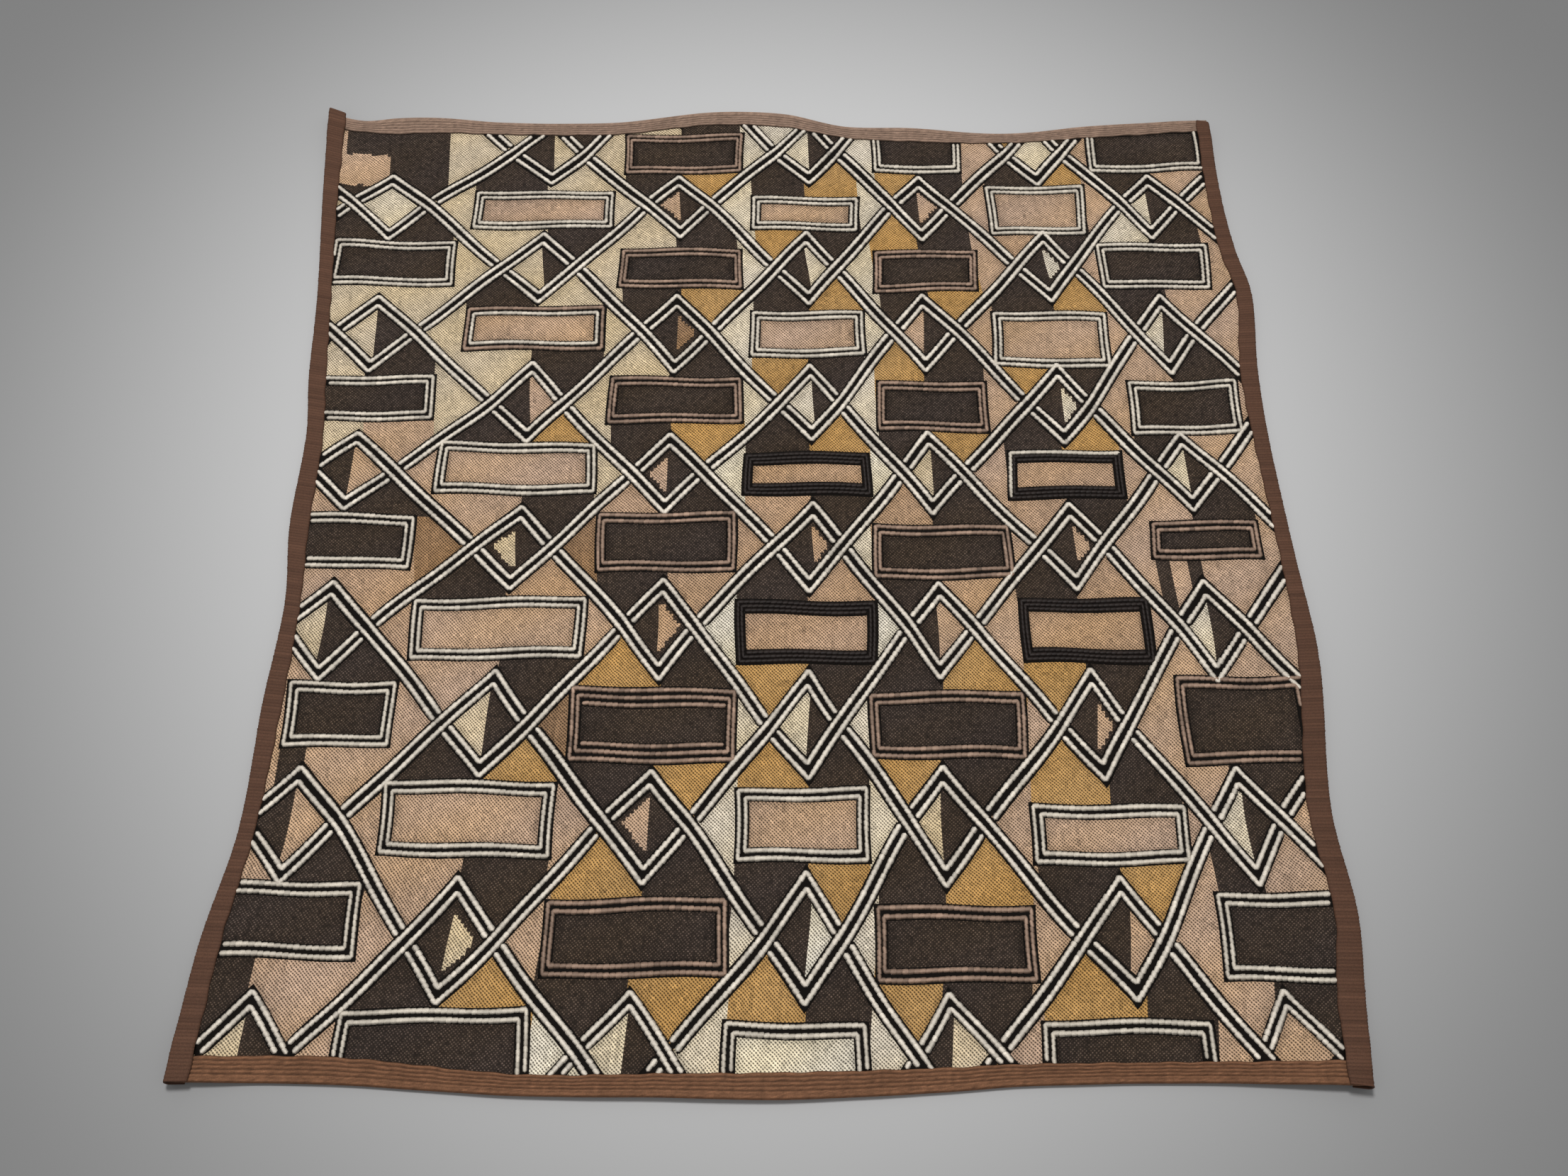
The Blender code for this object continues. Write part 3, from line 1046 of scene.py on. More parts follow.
@dataclass
class EmbroideredPanel:
    """The panel: one closed sheet, with a dye for every stitch of its face and painted shade beside the
    lines.
    """

    cloth: Cloth
    chart: Chart
    columns: int = 285
    rows: int = 305
    under_step: int = 5
    stitch: float = 1.95
    roughened: float = 0.09
    grain: float = 0.1
    run_length: int = 5
    run_tone: float = 0.04
    cloud_tone: float = 0.09
    warm_red: float = 0.03
    warm_blue: float = 0.09
    unseen_dye: float = 0.3
    seed: int = 7

    def build(self) -> bpy.types.Object:
        """Make the sheet and colour it."""
        outline = self.cloth.outline
        half_x, half_y = outline.panel_half
        xs = np.linspace(-half_x, half_x, self.columns + 1)
        ys = np.linspace(-half_y, half_y, self.rows + 1)
        x, y = (grid.ravel() for grid in np.meshgrid(xs, ys, indexing="ij"))
        laid_x, laid_y = outline.lay(x, y)
        chance = np.random.default_rng(self.seed)
        rough = chance.uniform(-1, 1, x.shape) * self.roughened
        rim = (np.abs(x) > half_x - 1) | (np.abs(y) > half_y - 1)
        top = self.cloth.place(laid_x, laid_y, outline.upside(x, y) + np.where(rim, 0, rough))
        low = self.cloth.place(laid_x, laid_y, outline.underside(x, y) + outline.lift(x, y))
        faces, used = self.under_faces()
        numbers = np.full(len(x), -1)
        numbers[used] = np.arange(len(used)) + len(x)
        mesh = bpy.data.meshes.new("embroidered_panel")
        top_faces = self.top_faces()
        rim_faces = self.rim_faces(numbers)
        under = [[int(numbers[corner]) for corner in face] for face in faces]
        mesh.from_pydata(
            np.concatenate([top, low[used]]).tolist(), [],
            top_faces.tolist() + rim_faces.tolist() + under,
        )
        mesh.validate()
        mesh.shade_smooth()
        mesh.materials.append(EmbroideredRaffia().build())
        mesh.materials.append(WovenRaffia().build())
        slots = np.zeros(len(mesh.polygons), dtype=np.int32)
        slots[len(top_faces) :] = 1
        mesh.polygons.foreach_set("material_index", slots)
        counted = x[top_faces].mean(axis=1)
        self.colour(mesh, laid_x, laid_y, counted, top_faces, chance)
        self.count_stitches(mesh, np.concatenate([x, x[used]]), np.concatenate([y, y[used]]))
        return add_object("embroidered_panel", mesh)

    def point(self, column: Array, row: Array) -> Array:
        """Number of a point of the face."""
        return column * (self.rows + 1) + row

    def top_faces(self) -> Array:
        """Quads of the embroidered face, one a stitch."""
        column, row = (
            grid.ravel()
            for grid in np.meshgrid(np.arange(self.columns), np.arange(self.rows), indexing="ij")
        )
        corners = [(0, 0), (1, 0), (1, 1), (0, 1)]
        return np.stack([self.point(column + a, row + b) for a, b in corners], axis=-1)

    def rim_points(self) -> Array:
        """The rim's points in order round the face, counted to the left."""
        up = np.arange(self.rows)
        right = np.arange(self.columns)
        return np.concatenate(
            [
                self.point(right, np.zeros_like(right)),
                self.point(np.full_like(up, self.columns), up),
                self.point(self.columns - right, np.full_like(right, self.rows)),
                self.point(np.zeros_like(up), self.rows - up),
            ]
        )

    def rim_faces(self, numbers: Array) -> Array:
        """Quads between the face's rim and the underside's."""
        rim = self.rim_points()
        after = np.roll(rim, -1)
        return np.stack([rim, numbers[rim], numbers[after], after], axis=-1)

    def under_faces(self) -> tuple[list[list[int]], Array]:
        """Wide faces of the underside, with every rim point in those at the rim.

        Returns:
            The faces, as numbers of the face's points, and the points that they use.
        """
        step, faces = self.under_step, []
        for column in range(0, self.columns, step):
            for row in range(0, self.rows, step):
                sides = (
                    (column == 0, [(0, each) for each in range(step)]),
                    (row + step == self.rows, [(each, step) for each in range(step)]),
                    (column + step == self.columns, [(step, step - each) for each in range(step)]),
                    (row == 0, [(step - each, 0) for each in range(step)]),
                )
                face = []
                for at_rim, places in sides:
                    kept = places if at_rim else places[:1]
                    face += [self.point(column + a, row + b) for a, b in kept]
                faces.append(face)
        return faces, np.unique(np.concatenate([np.array(face) for face in faces]))

    def colour(
        self, mesh: bpy.types.Mesh, x: Array, y: Array, counted: Array, top_faces: Array,
        chance: Chance,
    ) -> None:
        """Give every stitch of the face its dye, with the unevenness of hand dyeing and painted shade
        beside the lines.

        Args:
            mesh: The sheet's mesh.
            x: Places of the face's points across the uneven cloth.
            y: Places along it.
            counted: Place of every stitch across the straight cloth.
            top_faces: The face's quads.
            chance: The seeded source of chance.
        """
        middle_x, middle_y = x[top_faces].mean(axis=1), y[top_faces].mean(axis=1)
        letters = self.chart.dyes(middle_x, middle_y, counted, chance)
        colours = np.zeros((len(top_faces), 4))
        for dye in Dye:
            colours[letters == dye.name] = hex_colour(dye.value)
        grain = chance.normal(0, self.grain, (self.columns, self.rows))
        run_shape = (self.columns, self.rows // self.run_length + 1)
        runs = np.repeat(chance.normal(0, self.run_tone, run_shape), self.run_length, axis=1)
        clouds = np.sin(middle_x / 17 + 2 * np.sin(middle_y / 23)) * np.sin(middle_y / 14 + 1)
        tone = 1 + grain.ravel() + runs[:, : self.rows].ravel() + self.cloud_tone * clouds
        colours[:, :3] *= tone[:, None]
        # Painted shade on the fills beside the raised lines.
        colours[:, :3] *= self.chart.painted_shade_beside_lines(middle_x, middle_y)[:, None]
        warm = 0.5 * np.sin(middle_x / 41 + middle_y / 29) + 0.5 * np.sin(middle_x / 13 - middle_y / 9)
        colours[:, 0] *= 1 + self.warm_red * warm
        colours[:, 2] *= 1 - self.warm_blue * warm
        colours[:, 3] = letters != Dye.D.name
        dye = mesh.color_attributes.new("dye", "FLOAT_COLOR", "CORNER")
        values = np.full((len(mesh.loops), 4), self.unseen_dye)
        values[: 4 * len(top_faces)] = np.repeat(colours, 4, axis=0)
        dye.data.foreach_set("color", values.ravel())

    def count_stitches(self, mesh: bpy.types.Mesh, x: Array, y: Array) -> None:
        """Map the sheet in stitches, counted on the straight cloth.

        Args:
            mesh: The sheet's mesh.
            x: Places of all its points across the straight cloth.
            y: Places along it.
        """
        corners = np.empty(len(mesh.loops), dtype=np.int32)
        mesh.loops.foreach_get("vertex_index", corners)
        layer = mesh.uv_layers.new(name="stitches")
        places = np.stack([x[corners], y[corners]], axis=-1) / self.stitch
        layer.data.foreach_set("uv", places.ravel())


@dataclass
class Band:
    """One zigzag band, as points along its middle and its lean at each."""

    turn: int
    x: Array
    y: Array
    lean: Array


@dataclass
class StitchedLines:
    """The dark beds of all lines, and the white, brown and black stem stitches on them."""

    cloth: Cloth
    lattice: Lattice
    steps: int = 32
    band_count: int = 9
    white_offset: float = 2.47
    white_width: float = 3.05
    side_width: float = 0.8
    edge_width: float = 1.0
    frame_inset: float = 1.1
    frame_gap: float = 3.3
    frame_gain: float = 0.18
    white_side: float = 0.8
    brown_side: float = 0.62
    black_gaps: Pair = (2.0, 2.5)
    bed_height: float = 0.34
    frame_bed: float = 3.2
    dip: float = 0.3
    dip_start: float = 6.4
    dip_run: float = 1.4
    clear: float = 5.05
    strip_margin: float = 0.4
    stitch_pitch: float = 3.0
    stitch_length: float = 4.5
    stitch_height: float = 0.62
    stitch_sunk: float = 0.08
    slant: float = 0.10
    heading_spread: float = 0.03
    length_spread: float = 0.05
    width_spread: float = 0.06
    height_spread: float = 0.08
    mottle: float = 0.1
    brown_mottle: float = 0.16
    bed_dye: str = "#120e0b"
    white_dye: str = "#e2d8c9"
    frame_dye: str = "#d6ccbc"
    brown_dye: str = "#9c8270"
    black_dye: str = "#231a16"
    seed: int = 11

    def __post_init__(self) -> None:
        """Start the seeded source of chance and the three pieces."""
        self.chance = np.random.default_rng(self.seed)
        self.beds, self.net, self.boxes = Sewing(), Sewing(), Sewing()

    def bands(self) -> list[Band]:
        """All bands that reach the cloth, on the drawn lattice."""
        found = []
        columns = np.arange(0.5, len(COLUMNS) - 1 + CLOSE, 1 / self.steps)
        for turn in (1, -1):
            for number in range(self.band_count):
                fall = self.lattice.slope * self.lattice.from_even(columns)
                rows = number - turn * (self.lattice.knot_half - fall)
                y = self.lattice.y_at(rows)
                x = self.lattice.x_at(columns, y)
                found.append(Band(turn, x, y, self.leans(columns, x, y)))
        return found

    def leans(self, columns: Array, x: Array, y: Array) -> Array:
        """Length of a band for each millimetre across, the same all along a leg.

        Args:
            columns: Columns of the band's points.
            x: Their places across the cloth.
            y: Their places along it.

        Returns:
            The lean at each point, which is the mean of two legs at a turn.
        """
        legs = np.floor(columns + CLOSE).astype(int)
        lean = np.ones_like(x)
        for leg in np.unique(legs):
            held = np.flatnonzero((columns >= leg - CLOSE) & (columns <= leg + 1 + CLOSE))
            if len(held) > 1:
                run = (y[held[-1]] - y[held[0]]) / (x[held[-1]] - x[held[0]])
                lean[legs == leg] = math.sqrt(1 + run * run)
        turns = np.flatnonzero(np.abs(columns - np.round(columns)) < CLOSE)
        for turn in turns[(turns > 0) & (turns < len(x) - 1)]:
            lean[turn] = (lean[turn - 1] + lean[turn + 1]) / 2
        return lean

    def build(self) -> list[bpy.types.Object]:
        """Make the beds and the stitches."""
        for band in self.bands():
            self.add_band_bed(band)
            for side in (-1, 1):
                self.add_band_stitches(band, side)
        for box in FRAMES:
            self.add_frame_bed(box)
            self.add_frame_stitches(box)
        dark = ThreadRaffia("black_dyed_raffia", roughness=0.8, gloss=0.08).build()
        pale = ThreadRaffia("bleached_raffia").build()
        return [
            self.beds.build("line_beds", dark),
            self.net.build("lattice_stitches", pale),
            self.boxes.build("frame_stitches", pale),
        ]

    def add_band_bed(self, band: Band) -> None:
        """Add a band's bed, which dips where another band passes over it."""
        half = self.white_offset + self.white_width / 2 + self.edge_width
        shares = np.array([-1.0, -0.94, -0.8, 0.0, 0.8, 0.94, 1.0])
        heights = np.array([-0.35, 0.15, 0.3, self.bed_height, 0.3, 0.15, -0.35])
        y = band.y[:, None] + shares[None] * (half * band.lean)[:, None]
        x = np.repeat(band.x[:, None], len(shares), axis=1)
        over = self.lattice.under(band.turn, x, y)
        dip = self.dip * ease((self.dip_start - over) / self.dip_run)
        self.add_bed(x, y, heights[None] - dip)

    def add_bed(self, x: Array, y: Array, above: Array) -> None:
        """Add the shown runs of a bed as closed tubes of dark raffia.

        Args:
            x: Drawn places across the cloth, one section a row.
            y: Drawn places along it.
            above: Heights above the face.
        """
        sewn_x, sewn_y = self.lattice.sewn(x, y)
        straight_x, straight_y = self.cloth.outline.straighten(sewn_x, sewn_y)
        shown = (self.cloth.outline.room(straight_x, straight_y) > 0).any(axis=1)
        for start, end in self.runs(shown):
            if end - start > 1:
                parts = (each[start:end].ravel() for each in (sewn_x, sewn_y, above))
                points = self.cloth.on_face(*parts)
                dyes = np.tile(np.array(hex_colour(self.bed_dye)), (len(points), 1))
                faces = tube_faces(end - start, x.shape[1])
                self.beds.add(points, dyes, [each[:, ::-1] for each in faces])

    def runs(self, shown: Array) -> list[tuple[int, int]]:
        """Start and end of each run of shown sections, with one hidden section at each end."""
        padded = np.concatenate([[False], shown, [False]])
        changes = np.flatnonzero(padded[1:] != padded[:-1])
        last = len(shown)
        return [(max(a - 1, 0), min(b + 1, last)) for a, b in zip(changes[::2], changes[1::2])]

    def add_band_stitches(self, band: Band, side: int) -> None:
        """Add one of a band's two white lines.

        Args:
            band: The band.
            side: 1 for the line above the band's middle, -1 for the one below.
        """
        legs = np.flatnonzero(np.isclose(np.abs(np.diff(np.sign(np.diff(band.y)))), 2)) + 1
        ends = [0, *legs.tolist(), len(band.x) - 1]
        for start, end in zip(ends[:-1], ends[1:]):
            x = band.x[start : end + 1]
            y = band.y[start : end + 1] + side * self.white_offset * band.lean[start : end + 1]
            lengths = np.concatenate([[0], np.cumsum(np.hypot(np.diff(x), np.diff(y)))])
            at = self.middles(band.turn, x, y, lengths)
            (mid_x, ahead_x, back_x), (mid_y, ahead_y, back_y) = (
                [np.interp(at + step, lengths, places) for step in (0, 1, -1)] for places in (x, y)
            )
            heading = np.arctan2(ahead_y - back_y, ahead_x - back_x)
            self.add_stitches(self.net, mid_x, mid_y, heading, self.white_dye, self.white_width)

    def middles(self, turn: int, x: Array, y: Array, lengths: Array) -> Array:
        """Space stitches evenly over the parts of a leg that no band passes over.

        Args:
            turn: The family of the leg's band.
            x: Places along the leg's line, across the cloth.
            y: The same places down it.
            lengths: Length of the line up to each place.

        Returns:
            Length of the line up to the middle of each stitch.
        """
        fine = np.linspace(0, lengths[-1], max(int(lengths[-1] * 4), 2))
        fine_x, fine_y = np.interp(fine, lengths, x), np.interp(fine, lengths, y)
        seen = self.lattice.under(turn, fine_x, fine_y) > self.clear
        changes = np.flatnonzero(np.diff(np.concatenate([[0], seen, [0]])))
        found = [np.zeros(0)]
        for start, end in zip(fine[changes[::2]], fine[changes[1::2] - 1]):
            if end - start > self.stitch_pitch / 2:
                count = max(int(round((end - start) / self.stitch_pitch)), 1)
                found.append(start + (np.arange(count) + 0.5) * (end - start) / count)
        return np.concatenate(found)

    def add_frame_bed(self, box: Frame) -> None:
        """Add the dark ring under a frame's lines."""
        side_gap, gap = self.gaps(box)
        side = self.frame_bed + side_gap
        ring = self.frame_bed + gap * (len(box.line.value) - 1)
        depths, side_depths = (
            np.array([-1.3, -1.0, -0.4, width / 2, width - 0.6, width - 0.2, width])
            for width in (ring, side)
        )
        heights = np.array([-0.35, 0.12, 0.28, 0.32, 0.28, 0.12, -0.35])
        across = max(int(box.half_width / 2), 4)
        up = max(int(box.half_height / 2), 4)
        right, top = np.linspace(-1, 1, across + 1)[:-1], np.linspace(-1, 1, up + 1)[:-1]
        ones_x, ones_y = np.ones_like(right), np.ones_like(top)
        side_x = np.concatenate([right, ones_y, -right, -ones_y])
        side_y = np.concatenate([-ones_x, top, ones_x, -top])
        side_x, side_y = np.append(side_x, side_x[0]), np.append(side_y, side_y[0])
        x = box.x + side_x[:, None] * (box.half_width - side_depths)[None]
        y = box.y + side_y[:, None] * (box.half_height - depths)[None]
        self.add_bed(x, y, np.repeat(heights[None], len(side_x), axis=0))

    def add_frame_stitches(self, box: Frame) -> None:
        """Add the lines of a frame."""
        side_gap, gap = self.gaps(box)
        dyes = {"white": self.frame_dye, "brown": self.brown_dye, "black": self.black_dye}
        for count, sewn_in in enumerate(box.line.value):
            half_x = box.half_width - self.frame_inset - count * side_gap
            half_y = box.half_height - self.frame_inset - count * gap
            corners = [(-1, 1), (1, 1), (1, -1), (-1, -1), (-1, 1)]
            for number, (here, there) in enumerate(zip(corners[:-1], corners[1:])):
                if count == 2 and number in (1, 3):
                    continue
                part = self.black_dye if number in (1, 2) else self.frame_dye
                colour = dyes.get(sewn_in, part)
                start = np.array([box.x + here[0] * half_x, box.y + here[1] * half_y])
                end = np.array([box.x + there[0] * half_x, box.y + there[1] * half_y])
                length = float(np.hypot(*(end - start)))
                sewn = max(int(round(length / self.stitch_pitch)), 1)
                share = ((np.arange(sewn) + 0.5) / sewn)[:, None]
                mids = start + (end - start) * share
                heading = np.full(sewn, math.atan2(end[1] - start[1], end[0] - start[0]))
                width = self.white_width * (self.side_width if number in (1, 3) else 1.0)
                self.add_stitches(self.boxes, mids[:, 0], mids[:, 1], heading, colour, width)

    def gaps(self, box: Frame) -> Pair:
        """Gaps between a frame's lines at its sides, and above and below its filling."""
        if "black" in box.line.value:
            return self.black_gaps
        gap = self.frame_gap + self.frame_gain * box.row
        return gap * (self.white_side if "white" in box.line.value else self.brown_side), gap

    def add_stitches(
        self, sewing: Sewing, x: Array, y: Array, heading: Array, dye: str, width: float
    ) -> None:
        """Add short overlapping stitches, each a closed grain of raffia.

        Args:
            sewing: The piece that they are added to.
            x: Drawn places of the stitches' middles across the cloth.
            y: Drawn places along it.
            heading: Direction of the line at each.
            dye: Their colour.
            width: Their width.
        """
        sewn_x, sewn_y = self.lattice.sewn(x, y)
        straight_x, straight_y = self.cloth.outline.straighten(sewn_x, sewn_y)
        shown = self.cloth.outline.room(straight_x, straight_y) > self.strip_margin
        sewn_x, sewn_y, heading = sewn_x[shown], sewn_y[shown], heading[shown]
        number = len(sewn_x)
        if not number:
            return
        heading = heading + self.slant + self.chance.normal(0, self.heading_spread, number)
        length = self.stitch_length * (1 + self.chance.normal(0, self.length_spread, number))
        widths = width * (1 + self.chance.normal(0, self.width_spread, number))
        height = self.stitch_height * (1 + self.chance.normal(0, self.height_spread, number))
        along = np.array([-0.5, -0.3, -0.3, -0.3, 0, 0, 0, 0.3, 0.3, 0.3, 0.5])
        aside = np.array([0, 0.46, 0, -0.46, 0.5, 0, -0.5, 0.46, 0, -0.46, 0])
        raised = np.array([0.25, 0, 0.9, 0, 0, 1, 0, 0, 0.9, 0, 0.25])
        ahead, across = along[None] * length[:, None], aside[None] * widths[:, None]
        cosine, sine = np.cos(heading)[:, None], np.sin(heading)[:, None]
        points_x = sewn_x[:, None] + ahead * cosine - across * sine
        points_y = sewn_y[:, None] + ahead * sine + across * cosine
        above = self.bed_height - self.stitch_sunk + raised[None] * height[:, None]
        points = self.cloth.on_face(points_x.ravel(), points_y.ravel(), above.ravel())
        mottle = self.brown_mottle if dye == self.brown_dye else self.mottle
        cloud = np.sin(sewn_x / 9 + 2 * np.sin(sewn_y / 13)) * np.sin(sewn_y / 7)
        tone = 1 + mottle * (self.chance.normal(0, 1, (number, 1)) + cloud[:, None])
        colours = np.array(hex_colour(dye))[None] * tone
        colours[:, 3] = 1
        first = np.arange(number)[:, None] * len(along)
        triangles = np.array([[0, 3, 2], [0, 2, 1], [9, 10, 8], [8, 10, 7]])
        quads = np.array([[3, 6, 5, 2], [2, 5, 4, 1], [6, 9, 8, 5], [5, 8, 7, 4]])
        base = np.array([[0, 1, 4, 7, 10, 9, 6, 3]])
        faces = [
            (first[:, :, None] + each[None]).reshape(-1, each.shape[1])
            for each in (triangles, quads, base)
        ]
        sewing.add(points, np.repeat(colours, len(along), axis=0), faces)


@dataclass
class EdgeStrip:
    """A ribbed strip folded over one edge.

    The ribs run along the end strips and across the side strips, where each is one
    wrapped thread.
    """

    cloth: Cloth
    edge: Edge
    dye: str
    under_width: float = 9.0
    ribs: int = 5
    rib_points: int = 4
    thread: float = 1.75
    thread_points: int = 3
    end_pitch: float = 2.0
    fold_steps: int = 8
    edge_wave: float = 0.35
    ridge_wave: float = 0.05
    rib_spread: float = 0.05
    # Painted shade in the grooves of the end strips' ribs: the colour share where the section has no
    # thickness.
    rib_shade_base: float = 0.1
    rib_mottle: float = 0.15
    thread_spread: float = 0.06
    thread_groove: float = 0.82
    # Painted shade at the groove between wrapped threads, then the tone of the rest of each thread.
    thread_gap_shade: Pair = (0.78, 1.03)
    thread_tone_spread: float = 0.08
    thread_shade: Pair = (0.7, 0.3)
    inner_shade: float = 0.6
    end_run: float = 6.0
    outer_end: Pair = (0.0, 0.0)
    inner_end: Pair = (0.0, 0.0)
    seed: int = 3

    @property
    def lengthwise(self) -> bool:
        """Whether the ribs run along the strip, as on the end strips."""
        return self.edge.name in ("top", "bottom")

    def places(self) -> Array:
        """Places of the strip's sections along the edge."""
        inset = self.cloth.outline.panel_inset if self.lengthwise else 0.0
        half = self.edge.half_span - inset
        pitch = self.end_pitch if self.lengthwise else self.thread / self.thread_points
        return np.linspace(-half, half, int(round(2 * half / pitch)) + 1)

    def section(self) -> list[tuple[str, float, float]]:
        """The strip's outer face from its shown edge round the fold to its hidden edge.

        Returns:
            Part of the section, share of that part, and share of the thickness.
        """
        if self.lengthwise:
            shape = (0.35, 0.8, 1.0, 0.8)
            count = self.ribs * self.rib_points
            upper = [("upper", step / count, shape[step % len(shape)]) for step in range(count)]
            upper[0] = ("upper", 0.0, 0.12)
        else:
            upper = [
                ("upper", 0.0, 0.12), ("upper", 0.04, 0.7), ("upper", 0.12, 0.95),
                ("upper", 0.4, 1.0), ("upper", 0.7, 0.97),
            ]
        fold = [
            ("fold", step / self.fold_steps, 0.75 if self.lengthwise and step % 3 == 0 else 1.0)
            for step in range(self.fold_steps + 1)
        ]
        return upper + fold + [("lower", 1.0, 1.0)]

    def depth(self, part: str, share: float, thickness: Array, width: Array) -> Array:
        """Depth of a section point in from the edge."""
        outline = self.cloth.outline
        if part == "upper":
            return width + (outline.panel_inset - width) * share
        if part == "fold":
            radius = outline.fold_radius + thickness
            return outline.panel_inset - radius * math.sin(math.pi * share)
        return np.full_like(width, self.under_width)

    def heights(self, x: Array, y: Array) -> tuple[Array, Array]:
        """Inner faces of the lower and the upper wall."""
        outline = self.cloth.outline
        under = outline.underside(x, y)
        high = under + outline.hem_thick + outline.gap
        if self.lengthwise:
            return under - outline.gap, high
        past = outline.length / 2 - np.abs(y) - outline.shelf
        lap = np.clip(1 - past / outline.lap_run, 0.0, 1.0)
        low = np.full_like(x, outline.seat - outline.gap)
        return low, high + lap * (outline.gap + outline.strip_thick)

    def ends(self, along: Array, depth: Array) -> Array:
        """Move a side strip's two cut ends past the end strips' folds."""
        share = np.clip(depth / self.cloth.outline.shelf, 0.0, 1.0)
        moved = along.copy()
        for index, sign in ((0, -1), (-1, 1)):
            outer, inner = self.outer_end[index], self.inner_end[index]
            run = outer + (inner - outer) * share[index]
            near = ease((sign * along - (self.edge.half_span - self.end_run)) / self.end_run)
            moved += sign * near * run
        return moved

    def row(self, part: str, share: float, thickness: Array, along: Array, width: Array) -> Array:
        """One lengthwise row of the strip's points.

        Args:
            part: Part of the section.
            share: Share of that part.
            thickness: Height of this row above the inner face.
            along: Places along the edge.
            width: Width of strip that shows, at each place.

        Returns:
            One point a place, in metres.
        """
        outline, edge = self.cloth.outline, self.edge
        depth = self.depth(part, share, thickness, width)
        if not self.lengthwise:
            along = self.ends(along, depth)
        x = edge.along[0] * along + edge.outward[0] * (edge.half_depth - depth)
        y = edge.along[1] * along + edge.outward[1] * (edge.half_depth - depth)
        low, high = self.heights(x, y)
        middle, half = (low + high) / 2, (high - low) / 2
        if part == "upper":
            z = high + thickness
        elif part == "fold":
            z = middle + (half + thickness) * math.cos(math.pi * share)
        else:
            z = low - thickness
        laid_x, laid_y = outline.lay(x, y)
        return self.cloth.place(laid_x, laid_y, z + outline.lift(x, y))

    def build(self, material: bpy.types.Material) -> bpy.types.Object:
        """Make the strip.

        Args:
            material: Its finish.

        Returns:
            The strip, closed, with a dye colour on every point, darkened by painted shade in its
            grooves.
        """
        chance = np.random.default_rng(self.seed + len(self.edge.name))
        along = self.places()
        place = (self.edge.along[0] + self.edge.along[1]) * along
        width = follow(self.edge.stations, place, 2)
        width = width + self.edge_wave * np.sin(place / 3.1) * np.sin(place / 11.3)
        if self.lengthwise:
            ridge = 1 + self.ridge_wave * np.sin(place / 7.3)
            shade = 1 + chance.normal(0, self.rib_spread, len(along))
        else:
            thread, step = np.divmod(np.arange(len(along)), self.thread_points)
            wrapped = chance.normal(1, self.thread_spread, len(along) // self.thread_points + 1)
            ridge = np.where(step == 0, self.thread_groove, 1.0) * wrapped[thread]
            tones = chance.normal(1, self.thread_tone_spread, len(wrapped))
            # Painted shade at the groove between each two wrapped threads, times a random tone for each
            # thread.
            shade = np.where(step == 0, *self.thread_gap_shade) * tones[thread]
        section = self.section()
        base = np.array(hex_colour(self.dye))
        rows, dyes = [], []
        for part, share, thickness in section:
            thick = self.cloth.outline.strip_thick * thickness * ridge
            rows.append(self.row(part, share, thick, along, width))
            # Painted shade: the colour is darker where the section is thinner, in the grooves and at the
            # shown edge.
            if self.lengthwise:
                groove = self.rib_shade_base + thickness
                worn = chance.normal(1, self.rib_mottle, len(along))
            else:
                groove, worn = self.thread_shade[0] + self.thread_shade[1] * thickness, 1.0
            dyes.append(base[None] * (shade * groove * worn)[:, None])
        for part, share, _ in section[::-1]:
            rows.append(self.row(part, share, np.zeros_like(along), along, width))
            dyes.append(base[None] * (self.inner_shade * np.ones_like(along))[:, None])
        points = np.stack(rows, axis=1).reshape(-1, 3)
        colours = np.stack(dyes, axis=1).reshape(-1, 4)
        colours[:, 3] = 1
        sewing = Sewing()
        sewing.add(points, colours, self.faces(len(along), len(section)))
        return sewing.build("ribbed_strip_" + self.edge.name, material)

    def faces(self, lines: int, outer: int) -> list[Array]:
        """Walls of the strip's closed section, and its ends as rows of quads.

        Args:
            lines: Number of sections.
            outer: Points on the section's outer face, and as many on its inner face.

        Returns:
            Arrays of quads.
        """
        ring = 2 * outer
        walls = tube_faces(lines, ring)[0]
        step = np.arange(outer - 1)
        start = np.stack([step, ring - 1 - step, ring - 2 - step, step + 1], axis=-1)
        end = start[:, ::-1] + (lines - 1) * ring
        return [walls, start, end]


# The studio


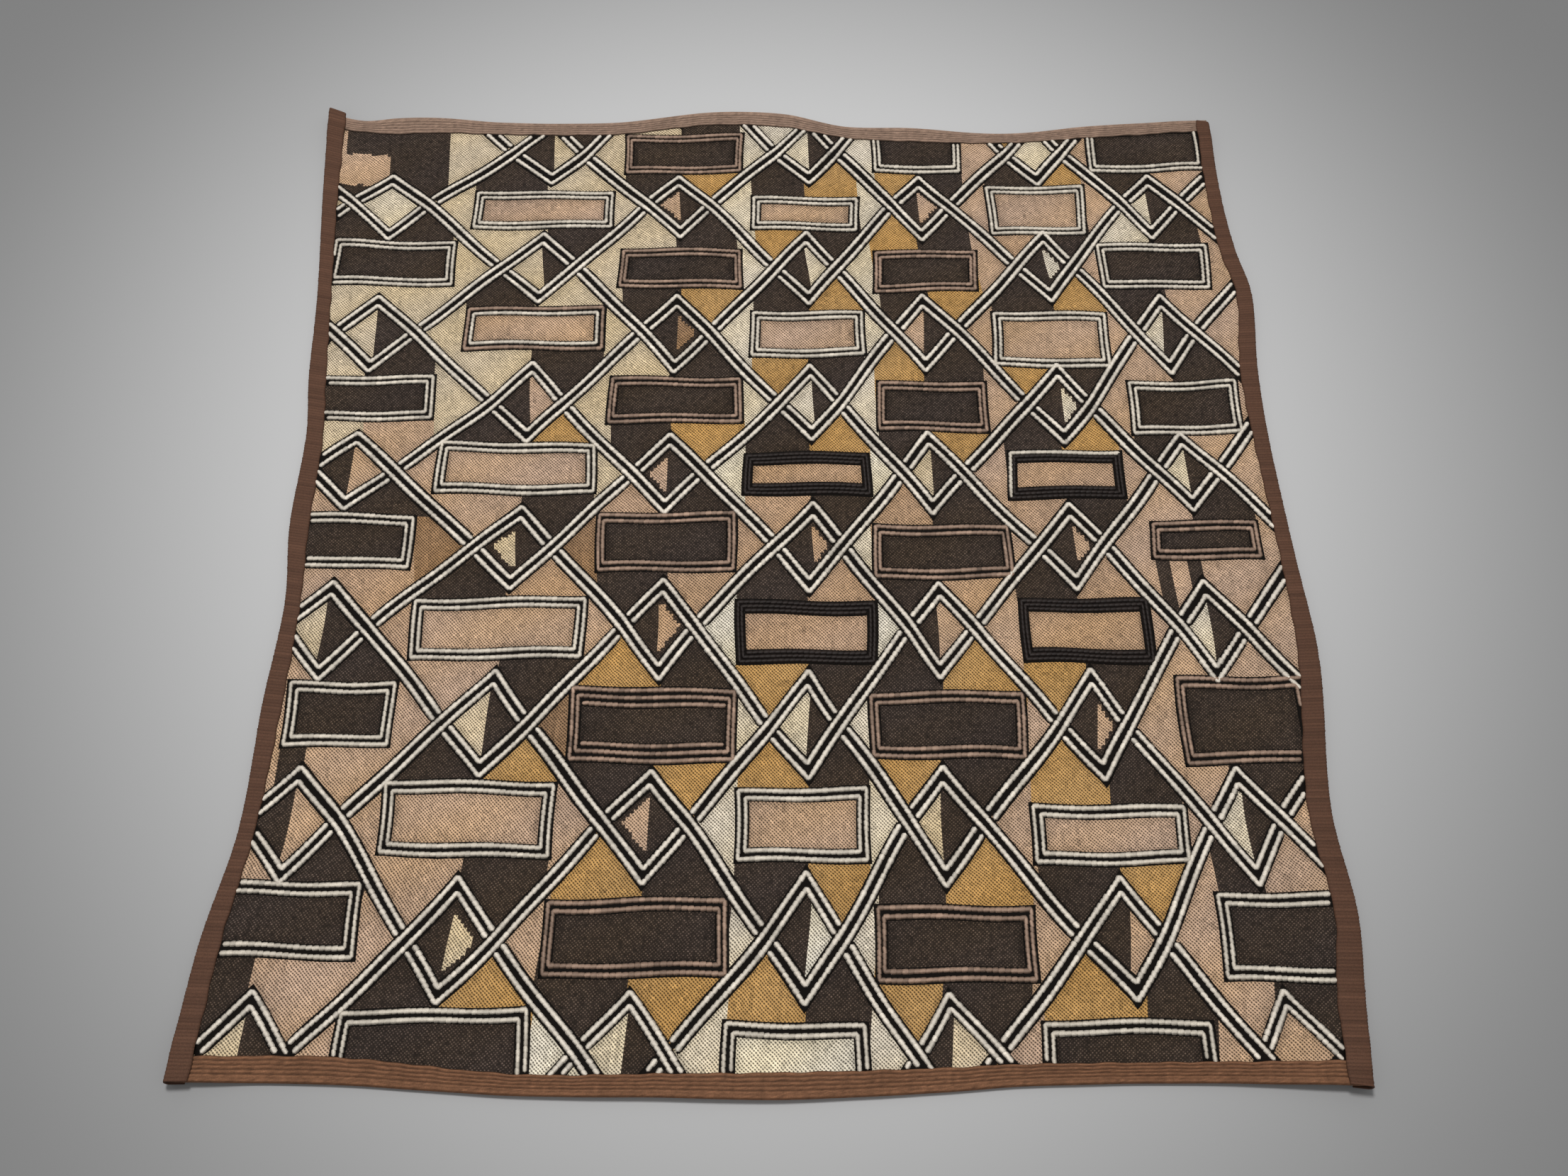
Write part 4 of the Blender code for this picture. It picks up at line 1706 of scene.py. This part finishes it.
@dataclass
class Studio:
    """The pale floor, the soft light and the camera."""

    shift: Pair
    camera_place: tuple[float, float, float] = (0.0056, -0.4981, 0.828)
    camera_tilt: float = 29.0
    lens: float = 39.4
    floor_size: float = 8.0
    pool_place: tuple[float, float, float] = (-0.25, 0.55, 2.6)
    pool_power: float = 181.0
    pool_aim: tuple[float, float, float] = (0.0, 0.01, 0.0)
    pool_radius: float = 1.6
    pool_size: float = 0.35
    sky: float = 0.385

    def build(self) -> None:
        """Make the floor, the lights and the camera."""
        bpy.ops.object.select_all(action="DESELECT")
        bpy.ops.mesh.primitive_plane_add(size=self.floor_size, location=(0, 0, -0.0001))
        floor = bpy.context.object
        floor.name = "floor"
        bpy.ops.object.transform_apply(location=True)
        floor.data.materials.append(FloorWithPaintedLight().build())
        bpy.context.scene.view_settings.view_transform = "Standard"
        self.light()
        camera = bpy.data.cameras.new("photo_camera")
        camera.lens = self.lens
        camera.sensor_width = 36.0
        viewer = add_object("photo_camera", camera)
        x, y, z = self.camera_place
        viewer.location = (x + self.shift[0], y + self.shift[1], z)
        viewer.rotation_euler = (math.radians(self.camera_tilt), 0, 0)
        bpy.context.scene.camera = viewer

    def light(self) -> None:
        """Make one soft pool of light from above the cloth's far left, and a dim even sky."""
        pool = bpy.data.lights.new("softbox", "SPOT")
        pool.energy = self.pool_power
        pool.shadow_soft_size = self.pool_size
        pool.spot_blend = 1.0
        place = Vector(self.pool_place)
        aim = Vector(self.pool_aim) - place
        pool.spot_size = 2 * math.atan(self.pool_radius / aim.length)
        lamp = add_object("softbox", pool)
        lamp.location = place
        lamp.rotation_euler = aim.to_track_quat("-Z", "Y").to_euler()
        world = bpy.data.worlds.new("studio")
        world.use_nodes = True
        sky = world.node_tree.nodes["Background"]
        sky.inputs["Color"].default_value = (1.0, 1.0, 1.0, 1.0)
        sky.inputs["Strength"].default_value = self.sky
        bpy.context.scene.world = world


STRIP_DYES = {"top": "#967c6b", "bottom": "#7c573f", "left": "#5e4233", "right": "#5c4031"}

# How far a side strip's cut ends run past the end strips, or stop short if negative: the
# lower end, then the upper end
OUTER_ENDS = {"left": (0.5, 3.0), "right": (-3.5, 1.0)}
INNER_ENDS = {"left": (0.0, 1.5), "right": (0.5, -0.5)}


def main() -> None:
    """Build the cloth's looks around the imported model."""
    logging.basicConfig(level=logging.INFO, format="%(message)s")
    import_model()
    cloth = Cloth.on_frame(Outline())
    lattice = Lattice()
    panel = EmbroideredPanel(cloth, Chart(cloth, lattice)).build()
    log.info("panel: %d faces", len(panel.data.polygons))
    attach(panel, "root")
    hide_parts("panel")
    lines = StitchedLines(cloth, lattice).build()
    for piece in lines:
        log.info("%s: %d faces", piece.name, len(piece.data.polygons))
        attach(piece, "root")
    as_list(lines)
    brown = ThreadRaffia("brown_dyed_raffia", roughness=0.75, gloss=0.15).build()
    for edge in cloth.outline.edges:
        strip = EdgeStrip(
            cloth, edge, STRIP_DYES[edge.name],
            outer_end=OUTER_ENDS.get(edge.name, (0.0, 0.0)),
            inner_end=INNER_ENDS.get(edge.name, (0.0, 0.0)),
        ).build(brown)
        log.info("%s: %d faces", strip.name, len(strip.data.polygons))
        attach(strip, "root")
        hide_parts("binding_" + edge.name)
    Studio(cloth.shift).build()


if __name__ == "__main__":
    main()
